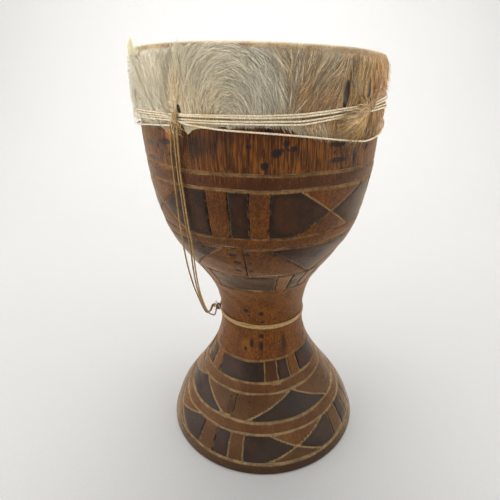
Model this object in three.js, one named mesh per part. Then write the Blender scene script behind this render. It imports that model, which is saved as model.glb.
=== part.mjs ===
import * as THREE from 'three';
import { mergeVertices } from 'three/addons/utils/BufferGeometryUtils.js';

// A hand-carved goblet drum with a hair-on goatskin head, bound with thin twine.
// Millimetres. It stands on its foot at the origin, front towards -Y, up along +Z.
// Angles are in degrees round the drum, from the front towards +X.

// Driving dimensions
const drumHeight = 380;
const skinThickness = 1.7;
const twineDiameter = 1.5;
const clearance = 0.3;
const woodTop = drumHeight - skinThickness - clearance;

// Outside of the wood, height and radius, from the foot over the waist to the rim
const woodOutline = [
  [0, 105], [19, 98.2], [38, 86.4], [57, 72.5], [76, 60.4], [95, 50.8], [114, 45.2], [133, 43.7],
  [152, 45.4], [171, 51.2], [190, 62.3], [209, 75.8], [228, 87.1], [247, 94.5], [285, 102],
  [323, 104.4], [345, 104.2], [woodTop, 101.8],
];

// Inside of the wood, from the rim down: the bowl, the bore through the waist and the hollow foot
const hollowOutline = [
  [woodTop, 91], [285, 89.5], [236, 76], [196, 50], [168, 32], [134, 26.5], [88, 34], [44, 62], [0, 90],
];
const woodColumns = 32;
const plainAngles = Array.from({ length: woodColumns }, (_, column) => (360 * column) / woodColumns);
const footChamfer = 1.5;

// Grooves cut right round by hand: height, how far each leans up to the right and to the front,
// and width. The two broad ones at the foot are rougher.
const ringGrooves = [
  { height: 10.5, right: -0.6, front: 0.3, width: 3.6 },
  { height: 35.4, right: 0.5, front: 0.2, width: 2.8 },
  { height: 44.4, right: 1.0, front: 0.2, width: 3.6 },
  { height: 66.9, right: 1.7, front: 0.1, width: 2.8 },
  { height: 76.1, right: 1.8, front: 0.1, width: 2.8 },
  { height: 96.0, right: 1.6, front: 0.0, width: 2.6 },
  { height: 179.4, right: -0.7, front: 0.0, width: 2.6 },
  { height: 202.5, right: -0.1, front: 0.0, width: 2.6 },
  { height: 236.6, right: -0.8, front: 0.2, width: 2.8 },
  { height: 246.4, right: 0.2, front: 0.2, width: 2.8 },
  { height: 285.2, right: -2.7, front: 1.1, width: 3.2 },
  { height: 297.9, right: -2.9, front: 0.2, width: 3.0 },
];
const grooveDepth = 1.3;

// Bands of the outside from the foot up, each between one ring groove and the next. rows is the
// number of plain rows between its edges where the outline bends. A carved band comes round four
// times, laid out by eye, so each quarter has its own start: bars are upright lines, at angles from
// the start, and slants are slanting lines, as angle and height share of one end, then the other.
const lineWidth = 2.6;
const bands = [
  { rows: 0 },
  {
    rows: 1, starts: [0, 91, 181, 267], bars: [-42, -31, -21, -12], slants: [[5, 1, 36, 0], [2, 0, 43, 1]],
  },
  { rows: 0 },
  { rows: 0, starts: [0, 90, 179, 272], slants: [[-12, 0, 25, 1], [28, 1, 58, 0]] },
  { rows: 0 },
  { rows: 0, starts: [0, 91, 180, 267], bars: [3, 16.5, 30, 43] },
  { rows: 4 },
  { rows: 0, starts: [0, 91, 180, 271], bars: [12, 24, 36, 47] },
  { rows: 1, starts: [0, 89, 180, 270], bars: [-9], slants: [[3, 1, 33, 0], [37, 0, 69, 1]] },
  { rows: 0 },
  {
    rows: 1, starts: [0, 91, 181, 273], bars: [-24, -14, -5, 4], slants: [[17, 1, 50, 0], [17, 0, 53, 1]],
  },
  { rows: 0 },
  { rows: 2 },
];

// Hem of the hide, angle and height: it hangs low in a tuft right of the front
const hemOutline = [
  [-180, 331], [-150, 334], [-120, 329], [-90, 333], [-65, 333.6], [-37, 333.5], [-24, 331],
  [-5, 333], [11, 331.5], [15, 327.5], [31, 323], [45, 318], [56, 317.5], [67, 322], [90, 330],
  [122, 325], [150, 333], [180, 331],
];
const skinColumns = 60;
const hideThickness = 1.2;

// Inside of the hide: straight down the skirt, then drawn in over the rim of the wood
const skinInside = 105;
const skinBend = 352;
const skinRimInside = 102.8;

// Pleats where the hide is drawn in under the twine: angle, rise and half width
const pleats = [
  { angle: 39.5, rise: 2.6, spread: 5.5 },
  { angle: -31.6, rise: 1.4, spread: 5 },
  { angle: -118, rise: 2, spread: 6 },
  { angle: 122, rise: 2.4, spread: 5.5 },
  { angle: 176, rise: 1.8, spread: 6 },
];

// The twine round the skirt: angle, height of the middle of its turns, and half their spread
const bindingRoute = [
  [-180, 340, 2.4], [-74, 338.9, 2.4], [-34, 337.6, 2.4], [0, 335.6, 2.9], [15, 335.2, 3.6],
  [37, 338.6, 2.4], [60, 340.5, 2.6], [180, 340, 2.4],
];
const bindingTurns = 4;
const bindingStart = -31.6;
const bindingRadius = 107;

// How far the twine presses a pleat flat, and how far the slack turn stands off the wood
const pressedPleat = 0.75;
const slackGap = 0.8;

// The last turn, slack and low: angle from the front and height
const lowRoute = [
  [-31.6, 334], [-14, 329.8], [2, 327.2], [15, 324.6], [37, 318.6], [46, 316.4], [59, 318.8],
  [68, 322.6], [95, 330], [180, 331.5], [250, 327.5], [286, 328.2], [313, 331.2], [328.4, 332],
];

// The twine round the waist
const waistHeight = 133.4;
const waistLean = -1;
const waistTurns = 3;
const waistPitch = twineDiameter + 0.15;

// The two small knots: angle, radius and height of the middle
const bindingKnot = { angle: bindingStart, radius: 112.4, height: 336.6 };
const waistKnot = { angle: -83, radius: 48.6, height: waistHeight + 1 };
const knotRadius = 1.9;
const knotTwine = 0.6;

// Loose strands from the binding knot to the waist knot, from the top down
const hangingRoutes = {
  hanging_cord_left: [
    [-61.4, -93.9, 332.3], [-62.2, -91.4, 327.5], [-63.6, -87.5, 320], [-64.8, -84, 309],
    [-65, -82.2, 298], [-65, -81.2, 288], [-64.9, -80.2, 275.6], [-64.6, -79.3, 258], [-64.1, -77.8, 241],
    [-63.4, -75.7, 228.2], [-62.4, -71.7, 211.7], [-60.4, -64.5, 190.8], [-58.3, -56.5, 174.2],
    [-56.3, -49.3, 160], [-54.6, -42.6, 150.3], [-53.1, -36, 146], [-51.9, -28.8, 145.4],
    [-51.4, -21.7, 145.4], [-51, -15.4, 142.4], [-50.2, -10.8, 137],
  ],
  hanging_cord_middle: [
    [-58.8, -95.6, 332.3], [-59.3, -93.4, 327.5], [-60.2, -90, 320.4], [-60.9, -87, 310.7],
    [-61, -85.6, 299.5], [-60.8, -84.8, 290.3], [-60.4, -83.4, 279.9], [-59.9, -81.7, 264.9],
    [-59.3, -79.3, 251.5], [-58.8, -77, 240.4], [-58.4, -75, 227.8], [-58.1, -73, 212.4],
    [-57.2, -69, 193.4], [-55.8, -62.4, 177.6], [-54.1, -53.9, 162.8], [-52.4, -45.6, 153],
    [-50.8, -36.5, 148.4], [-49.6, -25, 147.4], [-48.9, -16.6, 144], [-48.2, -10.8, 137],
  ],
  hanging_cord_right: [
    [-56.1, -97.2, 332.3], [-56.9, -94.9, 327.5], [-57.9, -91.8, 320.4], [-58.6, -88.6, 310.7],
    [-58.9, -87.2, 299.5], [-58.7, -86.4, 290.3], [-58.3, -85, 279.9], [-57.8, -83.3, 264.9],
    [-57.2, -81, 251.5], [-56.6, -78.6, 240.4], [-56.2, -76.6, 227.8], [-55.9, -74.6, 212.4],
    [-55.1, -70.8, 193.4], [-53.9, -64.6, 177.6], [-52.3, -56.5, 162.8], [-50.8, -48.2, 152.4],
    [-49.5, -41, 146.4], [-48.4, -34.5, 141.8], [-47.7, -29, 139.6], [-47.3, -24, 140.6],
    [-47, -19, 143], [-46.6, -14.5, 141.6], [-46.2, -10.8, 137],
  ],
};
const hangingSteps = 26;
const hangingSides = 8;

// The held twine is cut into straight steps of a four-sided tube
const heldSides = 4;
const stepsPerTurn = 22;

// Helpers

// Height of a named outline at an angle or height between its points, by straight lines
function between(outline, at, column = 1) {
  const next = Math.max(1, outline.findIndex(([value]) => value >= at));
  const [from, to] = [outline[next - 1], outline[next]];
  return THREE.MathUtils.mapLinear(at, from[0], to[0], from[column], to[column]);
}

// Radius of the wood at a height: a smooth curve through the outline's points
function woodRadius(height) {
  const last = woodOutline.length - 1;
  const at = THREE.MathUtils.clamp(height, 0, woodTop);
  const next = Math.max(1, woodOutline.findIndex(([value]) => value >= at - 1e-6));
  const slope = (index) => {
    const [before, after] = [woodOutline[Math.max(0, index - 1)], woodOutline[Math.min(last, index + 1)]];
    return (after[1] - before[1]) / (after[0] - before[0]);
  };
  const [z0, r0] = woodOutline[next - 1];
  const [z1, r1] = woodOutline[next];
  const span = z1 - z0;
  const t = (at - z0) / span;
  const rise = t * t * (3 - 2 * t);
  return r0 * (1 - rise) + r1 * rise
    + span * t * (1 - t) * ((1 - t) * slope(next - 1) - t * slope(next));
}

function woodSlope(height) {
  const step = 0.5;
  return (woodRadius(height + step) - woodRadius(height - step)) / (2 * step);
}

// A point at an angle, radius and height
function roundPoint(angle, radius, height) {
  const turn = THREE.MathUtils.degToRad(angle);
  return new THREE.Vector3(radius * Math.sin(turn), -radius * Math.cos(turn), height);
}

// The wrapped difference of two angles, from -180 to 180
function angleApart(a, b) {
  return THREE.MathUtils.euclideanModulo(a - b + 180, 360) - 180;
}

// Turns an angle of any size into one from -180 to 180
function wrapped(angle) {
  return angleApart(angle, 0);
}

// Collects triangles, and leaves out those with a doubled corner
class Surface {
  corners = [];

  triangle(...points) {
    const doubled = points.some((point, index) => point.distanceTo(points[(index + 1) % 3]) < 1e-4);
    if (!doubled) this.corners.push(...points.flatMap((point) => point.toArray()));
  }

  // Between two columns of points of the same count, the second to the right of the first
  joinColumns(left, right) {
    for (let row = 1; row < left.length; row += 1) {
      this.triangle(left[row - 1], right[row - 1], right[row]);
      this.triangle(left[row - 1], right[row], left[row]);
    }
  }

  // Between two rings of points whose angles may differ, the second above or inside the first.
  // A ring of one point closes the surface on the axis.
  joinRings(lower, upper) {
    const angleOf = (ring, index) => ring[index % ring.length].angle + 360 * Math.floor(index / ring.length);
    let [low, high] = [0, 0];
    while (low < lower.length || high < upper.length) {
      const [a, b] = [lower[low % lower.length].point, upper[high % upper.length].point];
      const lowerNext = high >= upper.length
        || (low < lower.length && angleOf(lower, low + 1) <= angleOf(upper, high + 1));
      if (lowerNext) {
        low += 1;
        this.triangle(a, lower[low % lower.length].point, b);
      } else {
        high += 1;
        this.triangle(a, upper[high % upper.length].point, b);
      }
    }
  }

  geometry() {
    const loose = new THREE.BufferGeometry();
    loose.setAttribute('position', new THREE.Float32BufferAttribute(this.corners, 3));
    return mergeVertices(loose, 1e-4);
  }
}

// A round tube along a path, with flat ends
function tubeAlong(path, diameter, sides, steps) {
  const section = new THREE.Shape();
  for (let side = 0; side < sides; side += 1) {
    const turn = (2 * Math.PI * side) / sides;
    const [x, y] = [Math.cos(turn) * diameter / 2, Math.sin(turn) * diameter / 2];
    if (side === 0) section.moveTo(x, y);
    else section.lineTo(x, y);
  }
  return new THREE.ExtrudeGeometry(section, { extrudePath: path, steps, bevelEnabled: false });
}

function named(name, geometry, color, roughness) {
  const flat = geometry.index ? geometry.toNonIndexed() : geometry;
  flat.computeVertexNormals();
  const mesh = new THREE.Mesh(flat, new THREE.MeshStandardMaterial({ color, roughness, metalness: 0 }));
  mesh.name = name;
  return mesh;
}

// The wooden body

// A point of the wood's outside, which may be sunk below it
function woodPoint(angle, height, sink) {
  const slope = woodSlope(height);
  const tilt = Math.hypot(1, slope);
  return roundPoint(angle, woodRadius(height) - sink / tilt, height + (sink * slope) / tilt);
}

function plainRing(heightAt, sink = 0) {
  return plainAngles.map((angle) => ({ angle, point: woodPoint(angle, heightAt(angle), sink) }));
}

// Height of a ring groove, or of its edge at a distance along the wood
function grooveHeight(groove, angle, aside = 0) {
  const turn = THREE.MathUtils.degToRad(angle);
  const middle = groove.height + groove.right * Math.sin(turn) + groove.front * Math.cos(turn);
  return middle + aside / Math.hypot(1, woodSlope(middle));
}

// One slanting line of a band. Its cut is a V with a sunk middle, and each end runs out to a point.
function slantLine([angle0, share0, angle1, share1], start, middleHeight, bandHeight) {
  const [from, to] = [start + angle0, start + angle1];
  const across = THREE.MathUtils.degToRad(to - from) * woodRadius(middleHeight);
  const halfShare = (lineWidth / 2) * Math.hypot(1, bandHeight / across) / bandHeight;
  const middle = (from + to) / 2;
  const shareAt = (angle) => {
    const t = THREE.MathUtils.clamp((middle + angleApart(angle, middle) - from) / (to - from), 0, 1);
    return THREE.MathUtils.lerp(share0, share1, t);
  };
  const cutAt = (angle) => {
    const share = shareAt(angle);
    const ended = share < 1e-6 || share > 1 - 1e-6;
    const half = ended ? 0 : halfShare;
    return [
      { share: Math.max(0, share - half), sink: 0 },
      { share, sink: ended ? 0 : grooveDepth },
      { share: Math.min(1, share + half), sink: 0 },
    ];
  };
  return { from, to, shareAt, cutAt, halfShare };
}

// Where two lines of a band cross, and how far to each side their edges meet
function crossingOf([first, second]) {
  const middle = (first.from + first.to) / 2;
  const step = 2;
  const gapAt = (angle) => first.shareAt(angle) - second.shareAt(angle);
  const fall = (gapAt(middle - step) - gapAt(middle + step)) / (2 * step);
  const angle = middle + gapAt(middle) / fall;
  return { angle, reach: (first.halfShare + second.halfShare) / Math.abs(fall) };
}

// Marks up a column of a band: the cuts of its lines in order of height, and its plain rows
function columnMarks(angle, lines, rows) {
  const cuts = lines.map((line) => line.cutAt(angle)).sort((a, b) => a[1].share - b[1].share);
  if (cuts.length === 2 && cuts[1][1].share - cuts[0][1].share < 1e-4 && cuts[0][1].sink > 0) {
    const crossing = cuts[0][1];
    cuts[0][2] = crossing;
    cuts[1] = [crossing, crossing, cuts[1][2]];
  }
  const marks = [{ share: 0, sink: 0 }, ...cuts.flat(), { share: 1, sink: 0 }];
  if (rows === 0) return marks;
  const edges = Array.from({ length: cuts.length + 1 }, (_, gap) => gap * 3);
  return edges.flatMap((edge, gap) => {
    const [below, above] = [marks[edge], marks[edge + 1]];
    const plain = { share: (below.share + above.share) / 2, sink: Math.min(below.sink, above.sink) };
    return [...(gap === 0 ? [] : [marks[edge - 1]]), below, plain, above];
  });
}

// A carved band between the edges of two ring grooves, added to the surface. It gives back the
// rings of points along its two edges, which the grooves join on to.
function carveBand(surface, { rows, starts, bars = [], slants = [] }, lowerEdge, upperEdge) {
  const [bottom, top] = [lowerEdge(0), upperEdge(0)];
  const middleHeight = (bottom + top) / 2;
  const barHalf = THREE.MathUtils.radToDeg(lineWidth / 2 / woodRadius(middleHeight));
  const barAngles = starts.flatMap((start) => bars.map((bar) => wrapped(start + bar)));
  const groups = starts.flatMap((start) => {
    const lines = slants.map((slant) => slantLine(slant, start, middleHeight, top - bottom));
    if (lines.length === 0) return [];
    const apart = lines[0].to < lines[1].from;
    if (apart) return lines.map((line) => ({ lines: [line], from: line.from, to: line.to }));
    const from = Math.min(...lines.map((line) => line.from));
    const to = Math.max(...lines.map((line) => line.to));
    return [{ lines, from, to, crossing: crossingOf(lines) }];
  });
  const crossings = groups.flatMap(({ crossing }) => crossing ?? []);
  const kept = [
    ...barAngles.flatMap((bar) => [bar - barHalf, bar, bar + barHalf]),
    ...groups.flatMap(({ lines }) => lines.flatMap((line) => [line.from, line.to])),
    ...crossings.flatMap(({ angle, reach }) => [angle - reach, angle, angle + reach]),
  ];
  const nearest = (360 / woodColumns) * 0.35;
  const free = plainAngles.filter((angle) => (
    kept.every((other) => Math.abs(angleApart(angle, other)) > nearest)
    && crossings.every((crossing) => Math.abs(angleApart(angle, crossing.angle)) > crossing.reach)));
  const angles = [...kept, ...free].map((angle) => THREE.MathUtils.euclideanModulo(angle, 360));
  angles.sort((a, b) => a - b);
  const pointAt = (angle, { share, sink }) => {
    const inBar = barAngles.some((bar) => Math.abs(angleApart(angle, bar)) < 1e-6);
    const height = THREE.MathUtils.lerp(lowerEdge(angle), upperEdge(angle), share);
    return woodPoint(angle, height, inBar ? grooveDepth : sink);
  };
  angles.forEach((angle, index) => {
    const next = angles[(index + 1) % angles.length];
    const middle = angle + angleApart(next, angle) / 2;
    const group = groups.find(({ from, to }) => (
      Math.abs(angleApart(middle, (from + to) / 2)) < (to - from) / 2));
    const marksAt = (at) => columnMarks(at, group ? group.lines : [], rows);
    const column = (at) => marksAt(at).map((mark) => pointAt(at, mark));
    surface.joinColumns(column(angle), column(next));
  });
  return [0, 1].map((share) => angles.map((angle) => (
    { angle, point: pointAt(angle, { share, sink: 0 }) })));
}

function plainBand(surface, rows, lowerEdge, upperEdge) {
  const rings = Array.from({ length: rows + 2 }, (_, row) => plainRing((angle) => (
    THREE.MathUtils.lerp(lowerEdge(angle), upperEdge(angle), row / (rows + 1)))));
  rings.slice(1).forEach((ring, row) => surface.joinRings(rings[row], ring));
  return [rings[0], rings.at(-1)];
}

function drumShell() {
  const surface = new Surface();
  const circle = ([height, radius]) => plainAngles.map((angle) => (
    { angle, point: roundPoint(angle, radius, height) }));
  let last = circle([0, woodRadius(0) - footChamfer]);
  const first = last;
  bands.forEach((band, index) => {
    const [below, above] = [ringGrooves[index - 1], ringGrooves[index]];
    const lowerEdge = (angle) => (below ? grooveHeight(below, angle, below.width / 2) : footChamfer);
    const upperEdge = (angle) => (above ? grooveHeight(above, angle, -above.width / 2) : woodTop);
    const [bottom, top] = band.starts
      ? carveBand(surface, band, lowerEdge, upperEdge)
      : plainBand(surface, band.rows, lowerEdge, upperEdge);
    surface.joinRings(last, bottom);
    last = above ? plainRing((angle) => grooveHeight(above, angle), grooveDepth) : top;
    if (above) surface.joinRings(top, last);
  });
  const inside = hollowOutline.map(circle);
  [...inside, first].forEach((ring) => {
    surface.joinRings(last, ring);
    last = ring;
  });
  return named('drum_shell', surface.geometry(), 0x6b3d20, 0.6);
}

// The goatskin head

function pleatRise(angle) {
  return pleats.reduce((sum, pleat) => (
    sum + pleat.rise * Math.exp(-((angleApart(angle, pleat.angle) / pleat.spread) ** 2))), 0);
}

// Rows of the outside of the hide: radius, height, and how far the pleats show there.
// The last two hang below the twine, at shares of the way down to the hem.
const skirtTop = 337;
const skirtRows = [
  { radius: 100.5, height: drumHeight, pleat: 0 },
  { radius: 104.2, height: drumHeight - 0.8, pleat: 0 },
  { radius: 106.3, height: drumHeight - 5.5, pleat: 0 },
  { radius: 106.7, height: 357, pleat: 0.45 },
  { radius: 106.9, height: 344, pleat: 1 },
  { radius: 106.4, height: skirtTop, pleat: 0.35 },
  { radius: 107, drop: 0.5, pleat: 0.7 },
  { radius: skinInside + hideThickness, drop: 1, pleat: 0.4 },
];

function goatskinHead() {
  const around = (place) => Array.from({ length: skinColumns }, (_, column) => {
    const angle = (360 * column) / skinColumns;
    return { angle, point: place(wrapped(angle)) };
  });
  const hem = (angle) => between(hemOutline, angle);
  const outside = skirtRows.map(({ radius, height, drop, pleat }) => around((angle) => {
    const rowHeight = height ?? THREE.MathUtils.lerp(skirtTop, hem(angle), drop);
    return roundPoint(angle, radius + pleat * pleatRise(angle), rowHeight);
  }));
  const underside = drumHeight - skinThickness;
  const inside = [
    around((angle) => roundPoint(angle, skinRimInside, underside)),
    around((angle) => roundPoint(angle, skinInside, skinBend)),
    around((angle) => roundPoint(angle, skinInside, hem(angle))),
  ];
  const onAxis = (height) => [{ angle: 0, point: roundPoint(0, 0, height) }];
  const rings = [onAxis(underside), ...inside, ...outside.reverse(), onAxis(drumHeight)];
  const surface = new Surface();
  rings.slice(1).forEach((ring, row) => surface.joinRings(rings[row], ring));
  return named('goatskin_head', surface.geometry(), 0xb89b74, 0.9);
}

// The twine

// How far a straight step of a held cord would cut inside the round it follows
function stepBow(radius) {
  return radius * (1 - Math.cos(Math.PI / stepsPerTurn));
}

// Radius of the middle of a cord that lies on the skirt, or on the wood below the hem. Its straight
// steps clear the pleats that they pass over.
function heldRadius(angle, height) {
  const reach = 360 / stepsPerTurn;
  const rises = [-1, -0.5, 0, 0.5, 1].map((share) => pleatRise(angle + share * reach));
  const onHide = bindingRadius + pressedPleat * Math.max(...rises);
  const onWood = woodRadius(height) + slackGap;
  const belowHem = between(hemOutline, angle) - height;
  const under = THREE.MathUtils.lerp(onHide, onWood, THREE.MathUtils.smoothstep(belowHem, -1, 5));
  return under + clearance + twineDiameter / 2 + stepBow(under);
}

function bindingCord() {
  const points = [];
  const total = bindingTurns * stepsPerTurn;
  for (let step = 0; step <= total; step += 1) {
    const turns = step / stepsPerTurn;
    const angle = wrapped(bindingStart + 360 * turns);
    const spread = between(bindingRoute, angle, 2);
    const place = ((turns - bindingTurns / 2) * 2) / (bindingTurns - 1);
    const height = between(bindingRoute, angle) - place * spread;
    points.push(roundPoint(angle, heldRadius(angle, height), height));
  }
  const offset = points.at(-1).z - lowRoute[0][1];
  const settleSteps = 3;
  for (let step = 1; step <= stepsPerTurn; step += 1) {
    const angle = THREE.MathUtils.lerp(lowRoute[0][0], lowRoute.at(-1)[0], step / stepsPerTurn);
    const height = between(lowRoute, angle) + offset * Math.max(0, 1 - step / settleSteps);
    points.push(roundPoint(angle, heldRadius(wrapped(angle), height), height));
  }
  const tube = tubeAlong(polyline(points), twineDiameter, heldSides, points.length - 1);
  return named('binding_cord', tube, 0xb9a67e, 0.9);
}

// A path of straight steps through points
function polyline(points) {
  const path = new THREE.CurvePath();
  points.slice(1).forEach((point, index) => path.add(new THREE.LineCurve3(points[index], point)));
  return path;
}

function waistCord() {
  const steps = waistTurns * stepsPerTurn;
  const points = Array.from({ length: steps + 1 }, (_, step) => {
    const turns = step / stepsPerTurn;
    const angle = waistKnot.angle + 360 * turns;
    const lean = waistLean * Math.sin(THREE.MathUtils.degToRad(angle));
    const height = waistHeight + lean + (turns - waistTurns / 2) * waistPitch;
    const under = woodRadius(height);
    return roundPoint(angle, under + clearance + twineDiameter / 2 + stepBow(under), height);
  });
  return named('waist_cord', tubeAlong(polyline(points), twineDiameter, heldSides, steps), 0xc0a578, 0.9);
}

// A small overhand knot, its flat side towards the drum
function knot(name, { angle, radius, height }) {
  const geometry = new THREE.TorusKnotGeometry(knotRadius, knotTwine, 20, 4);
  const mesh = named(name, geometry, 0xb9a67e, 0.9);
  const holder = new THREE.Group();
  mesh.rotation.set(Math.PI / 2, 0, 0);
  holder.rotation.z = THREE.MathUtils.degToRad(angle);
  holder.position.copy(roundPoint(angle, radius, height));
  holder.add(mesh);
  return holder;
}

function hangingCord([name, route]) {
  const points = route.map((point) => new THREE.Vector3(...point));
  const path = new THREE.CatmullRomCurve3(points, false, 'centripetal');
  return named(name, tubeAlong(path, twineDiameter, hangingSides, hangingSteps), 0xb39b6c, 0.9);
}

const drum = new THREE.Group();
drum.add(drumShell(), goatskinHead(), bindingCord(), waistCord());
drum.add(knot('binding_knot', bindingKnot), knot('waist_knot', waistKnot));
Object.entries(hangingRoutes).forEach((route) => drum.add(hangingCord(route)));

export default drum;
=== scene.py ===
import math

import bpy
import numpy as np
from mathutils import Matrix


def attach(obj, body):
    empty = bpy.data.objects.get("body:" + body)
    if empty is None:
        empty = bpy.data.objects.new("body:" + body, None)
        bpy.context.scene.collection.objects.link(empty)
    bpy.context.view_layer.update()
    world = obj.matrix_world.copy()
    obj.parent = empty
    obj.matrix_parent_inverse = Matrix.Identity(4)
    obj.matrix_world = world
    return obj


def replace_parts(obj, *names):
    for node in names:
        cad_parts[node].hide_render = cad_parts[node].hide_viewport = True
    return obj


# A carved goblet drum with a hair-on goatskin head, bound with thin twine.
# The pieces' dictionaries hold millimetres, and degrees round the drum from its front towards +X.
# The camera's and the studio's hold metres.

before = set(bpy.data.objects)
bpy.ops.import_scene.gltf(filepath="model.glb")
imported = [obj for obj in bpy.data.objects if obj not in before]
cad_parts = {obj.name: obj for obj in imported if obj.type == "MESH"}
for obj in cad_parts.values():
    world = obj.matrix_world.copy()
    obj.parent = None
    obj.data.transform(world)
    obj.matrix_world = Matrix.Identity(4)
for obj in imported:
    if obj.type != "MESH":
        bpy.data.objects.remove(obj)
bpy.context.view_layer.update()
bpy.ops.object.select_all(action="DESELECT")
mm = 0.001
drumHeight = 380.0
perDegree = 1.85     # millimetres round the skirt in one degree


# Small tools used by several pieces

def angleOf(places):
    return np.degrees(np.arctan2(places[..., 0], -places[..., 1]))


def angleApart(a, b):
    return (np.asarray(a, float) - b + 180.0) % 360.0 - 180.0


def smoothStep(value, low, high):
    t = np.clip((np.asarray(value, float) - low) / (high - low), 0.0, 1.0)
    return t * t * (3 - 2 * t)


def roundPoints(angle, radius, height):
    turn = np.radians(angle)
    return np.stack([radius * np.sin(turn), -radius * np.cos(turn), height + 0 * turn], axis=-1)


def smoothCurve(outline, at):
    # a smooth line through points whose slopes come from their neighbours
    points = np.array(outline, float)
    x, y = points[:, 0], points[:, 1]
    slope = np.empty(len(x))
    slope[1:-1] = (y[2:] - y[:-2]) / (x[2:] - x[:-2])
    slope[0] = (y[1] - y[0]) / (x[1] - x[0])
    slope[-1] = (y[-1] - y[-2]) / (x[-1] - x[-2])
    at = np.clip(at, x[0], x[-1])
    index = np.clip(np.searchsorted(x, at, side="left"), 1, len(x) - 1)
    span = x[index] - x[index - 1]
    t = (at - x[index - 1]) / span
    rise = t * t * (3 - 2 * t)
    return (y[index - 1] * (1 - rise) + y[index] * rise
            + span * t * (1 - t) * ((1 - t) * slope[index - 1] - t * slope[index]))


def smoothPath(points, step):
    # a round line through loose points, cut into equal steps
    points = np.array(points, float)
    padded = np.vstack([2 * points[0] - points[1], points, 2 * points[-1] - points[-2]])
    fine = []
    for index in range(1, len(padded) - 2):
        p0, p1, p2, p3 = padded[index - 1:index + 3]
        knots = [0.0]
        for a, b in ((p0, p1), (p1, p2), (p2, p3)):
            knots.append(knots[-1] + max(np.linalg.norm(b - a), 1e-6) ** 0.5)
        t0, t1, t2, t3 = knots
        t = np.linspace(t1, t2, 12, endpoint=False)[:, None]
        a1 = (t1 - t) / (t1 - t0) * p0 + (t - t0) / (t1 - t0) * p1
        a2 = (t2 - t) / (t2 - t1) * p1 + (t - t1) / (t2 - t1) * p2
        a3 = (t3 - t) / (t3 - t2) * p2 + (t - t2) / (t3 - t2) * p3
        b1 = (t2 - t) / (t2 - t0) * a1 + (t - t0) / (t2 - t0) * a2
        b2 = (t3 - t) / (t3 - t1) * a2 + (t - t1) / (t3 - t1) * a3
        fine.append((t2 - t) / (t2 - t1) * b1 + (t - t1) / (t2 - t1) * b2)
    fine = np.vstack(fine + [points[-1:]])
    return evenSteps(fine, step)


def evenSteps(line, step):
    run = np.concatenate([[0], np.cumsum(np.linalg.norm(np.diff(line, axis=0), axis=1))])
    count = max(3, int(round(run[-1] / step)))
    at = np.linspace(0, run[-1], count + 1)
    return np.stack([np.interp(at, run, line[:, axis]) for axis in range(3)], axis=1)


def ripple(values, seed, low, high, count):
    # a gentle random wave of a number, made of a few sines
    draw = np.random.default_rng(seed)
    wave = np.zeros_like(np.asarray(values, float))
    for _ in range(count):
        wave += np.sin(values * draw.uniform(low, high) + draw.uniform(0, 6.28))
    return wave / count ** 0.5


def meshPiece(name, vertices, faces):
    mesh = bpy.data.meshes.new(name)
    mesh.from_pydata((np.asarray(vertices) * mm).tolist(), [], faces)
    piece = bpy.data.objects.new(name, mesh)
    bpy.context.scene.collection.objects.link(piece)
    return piece


def selectOnly(piece):
    bpy.ops.object.select_all(action="DESELECT")
    piece.select_set(True)
    bpy.context.view_layer.objects.active = piece


def placesOf(piece):
    places = np.empty(len(piece.data.vertices) * 3)
    piece.data.vertices.foreach_get("co", places)
    return places.reshape(-1, 3) / mm


def movePlaces(piece, places):
    piece.data.vertices.foreach_set("co", (np.asarray(places) * mm).ravel())
    piece.data.update()


def setNumbers(piece, name, values):
    layer = piece.data.attributes.get(name) or piece.data.attributes.new(name, "FLOAT", "POINT")
    layer.data.foreach_set("value", np.asarray(values, np.float32))


def setColours(piece, name, values):
    layer = piece.data.attributes.new(name, "FLOAT_COLOR", "POINT")
    full = np.ones((len(values), 4), np.float32)
    full[:, :3] = values
    layer.data.foreach_set("color", full.ravel())


def linear(red, green, blue):
    # a colour as seen on a screen, from 0 to 255, as the renderer's own numbers
    return tuple(((c / 255 + 0.055) / 1.055) ** 2.4 if c > 10 else c / 255 / 12.92
                 for c in (red, green, blue)) + (1.0,)


def dress(piece, material):
    piece.data.materials.clear()
    piece.data.materials.append(material)
    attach(piece, "root")


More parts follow.
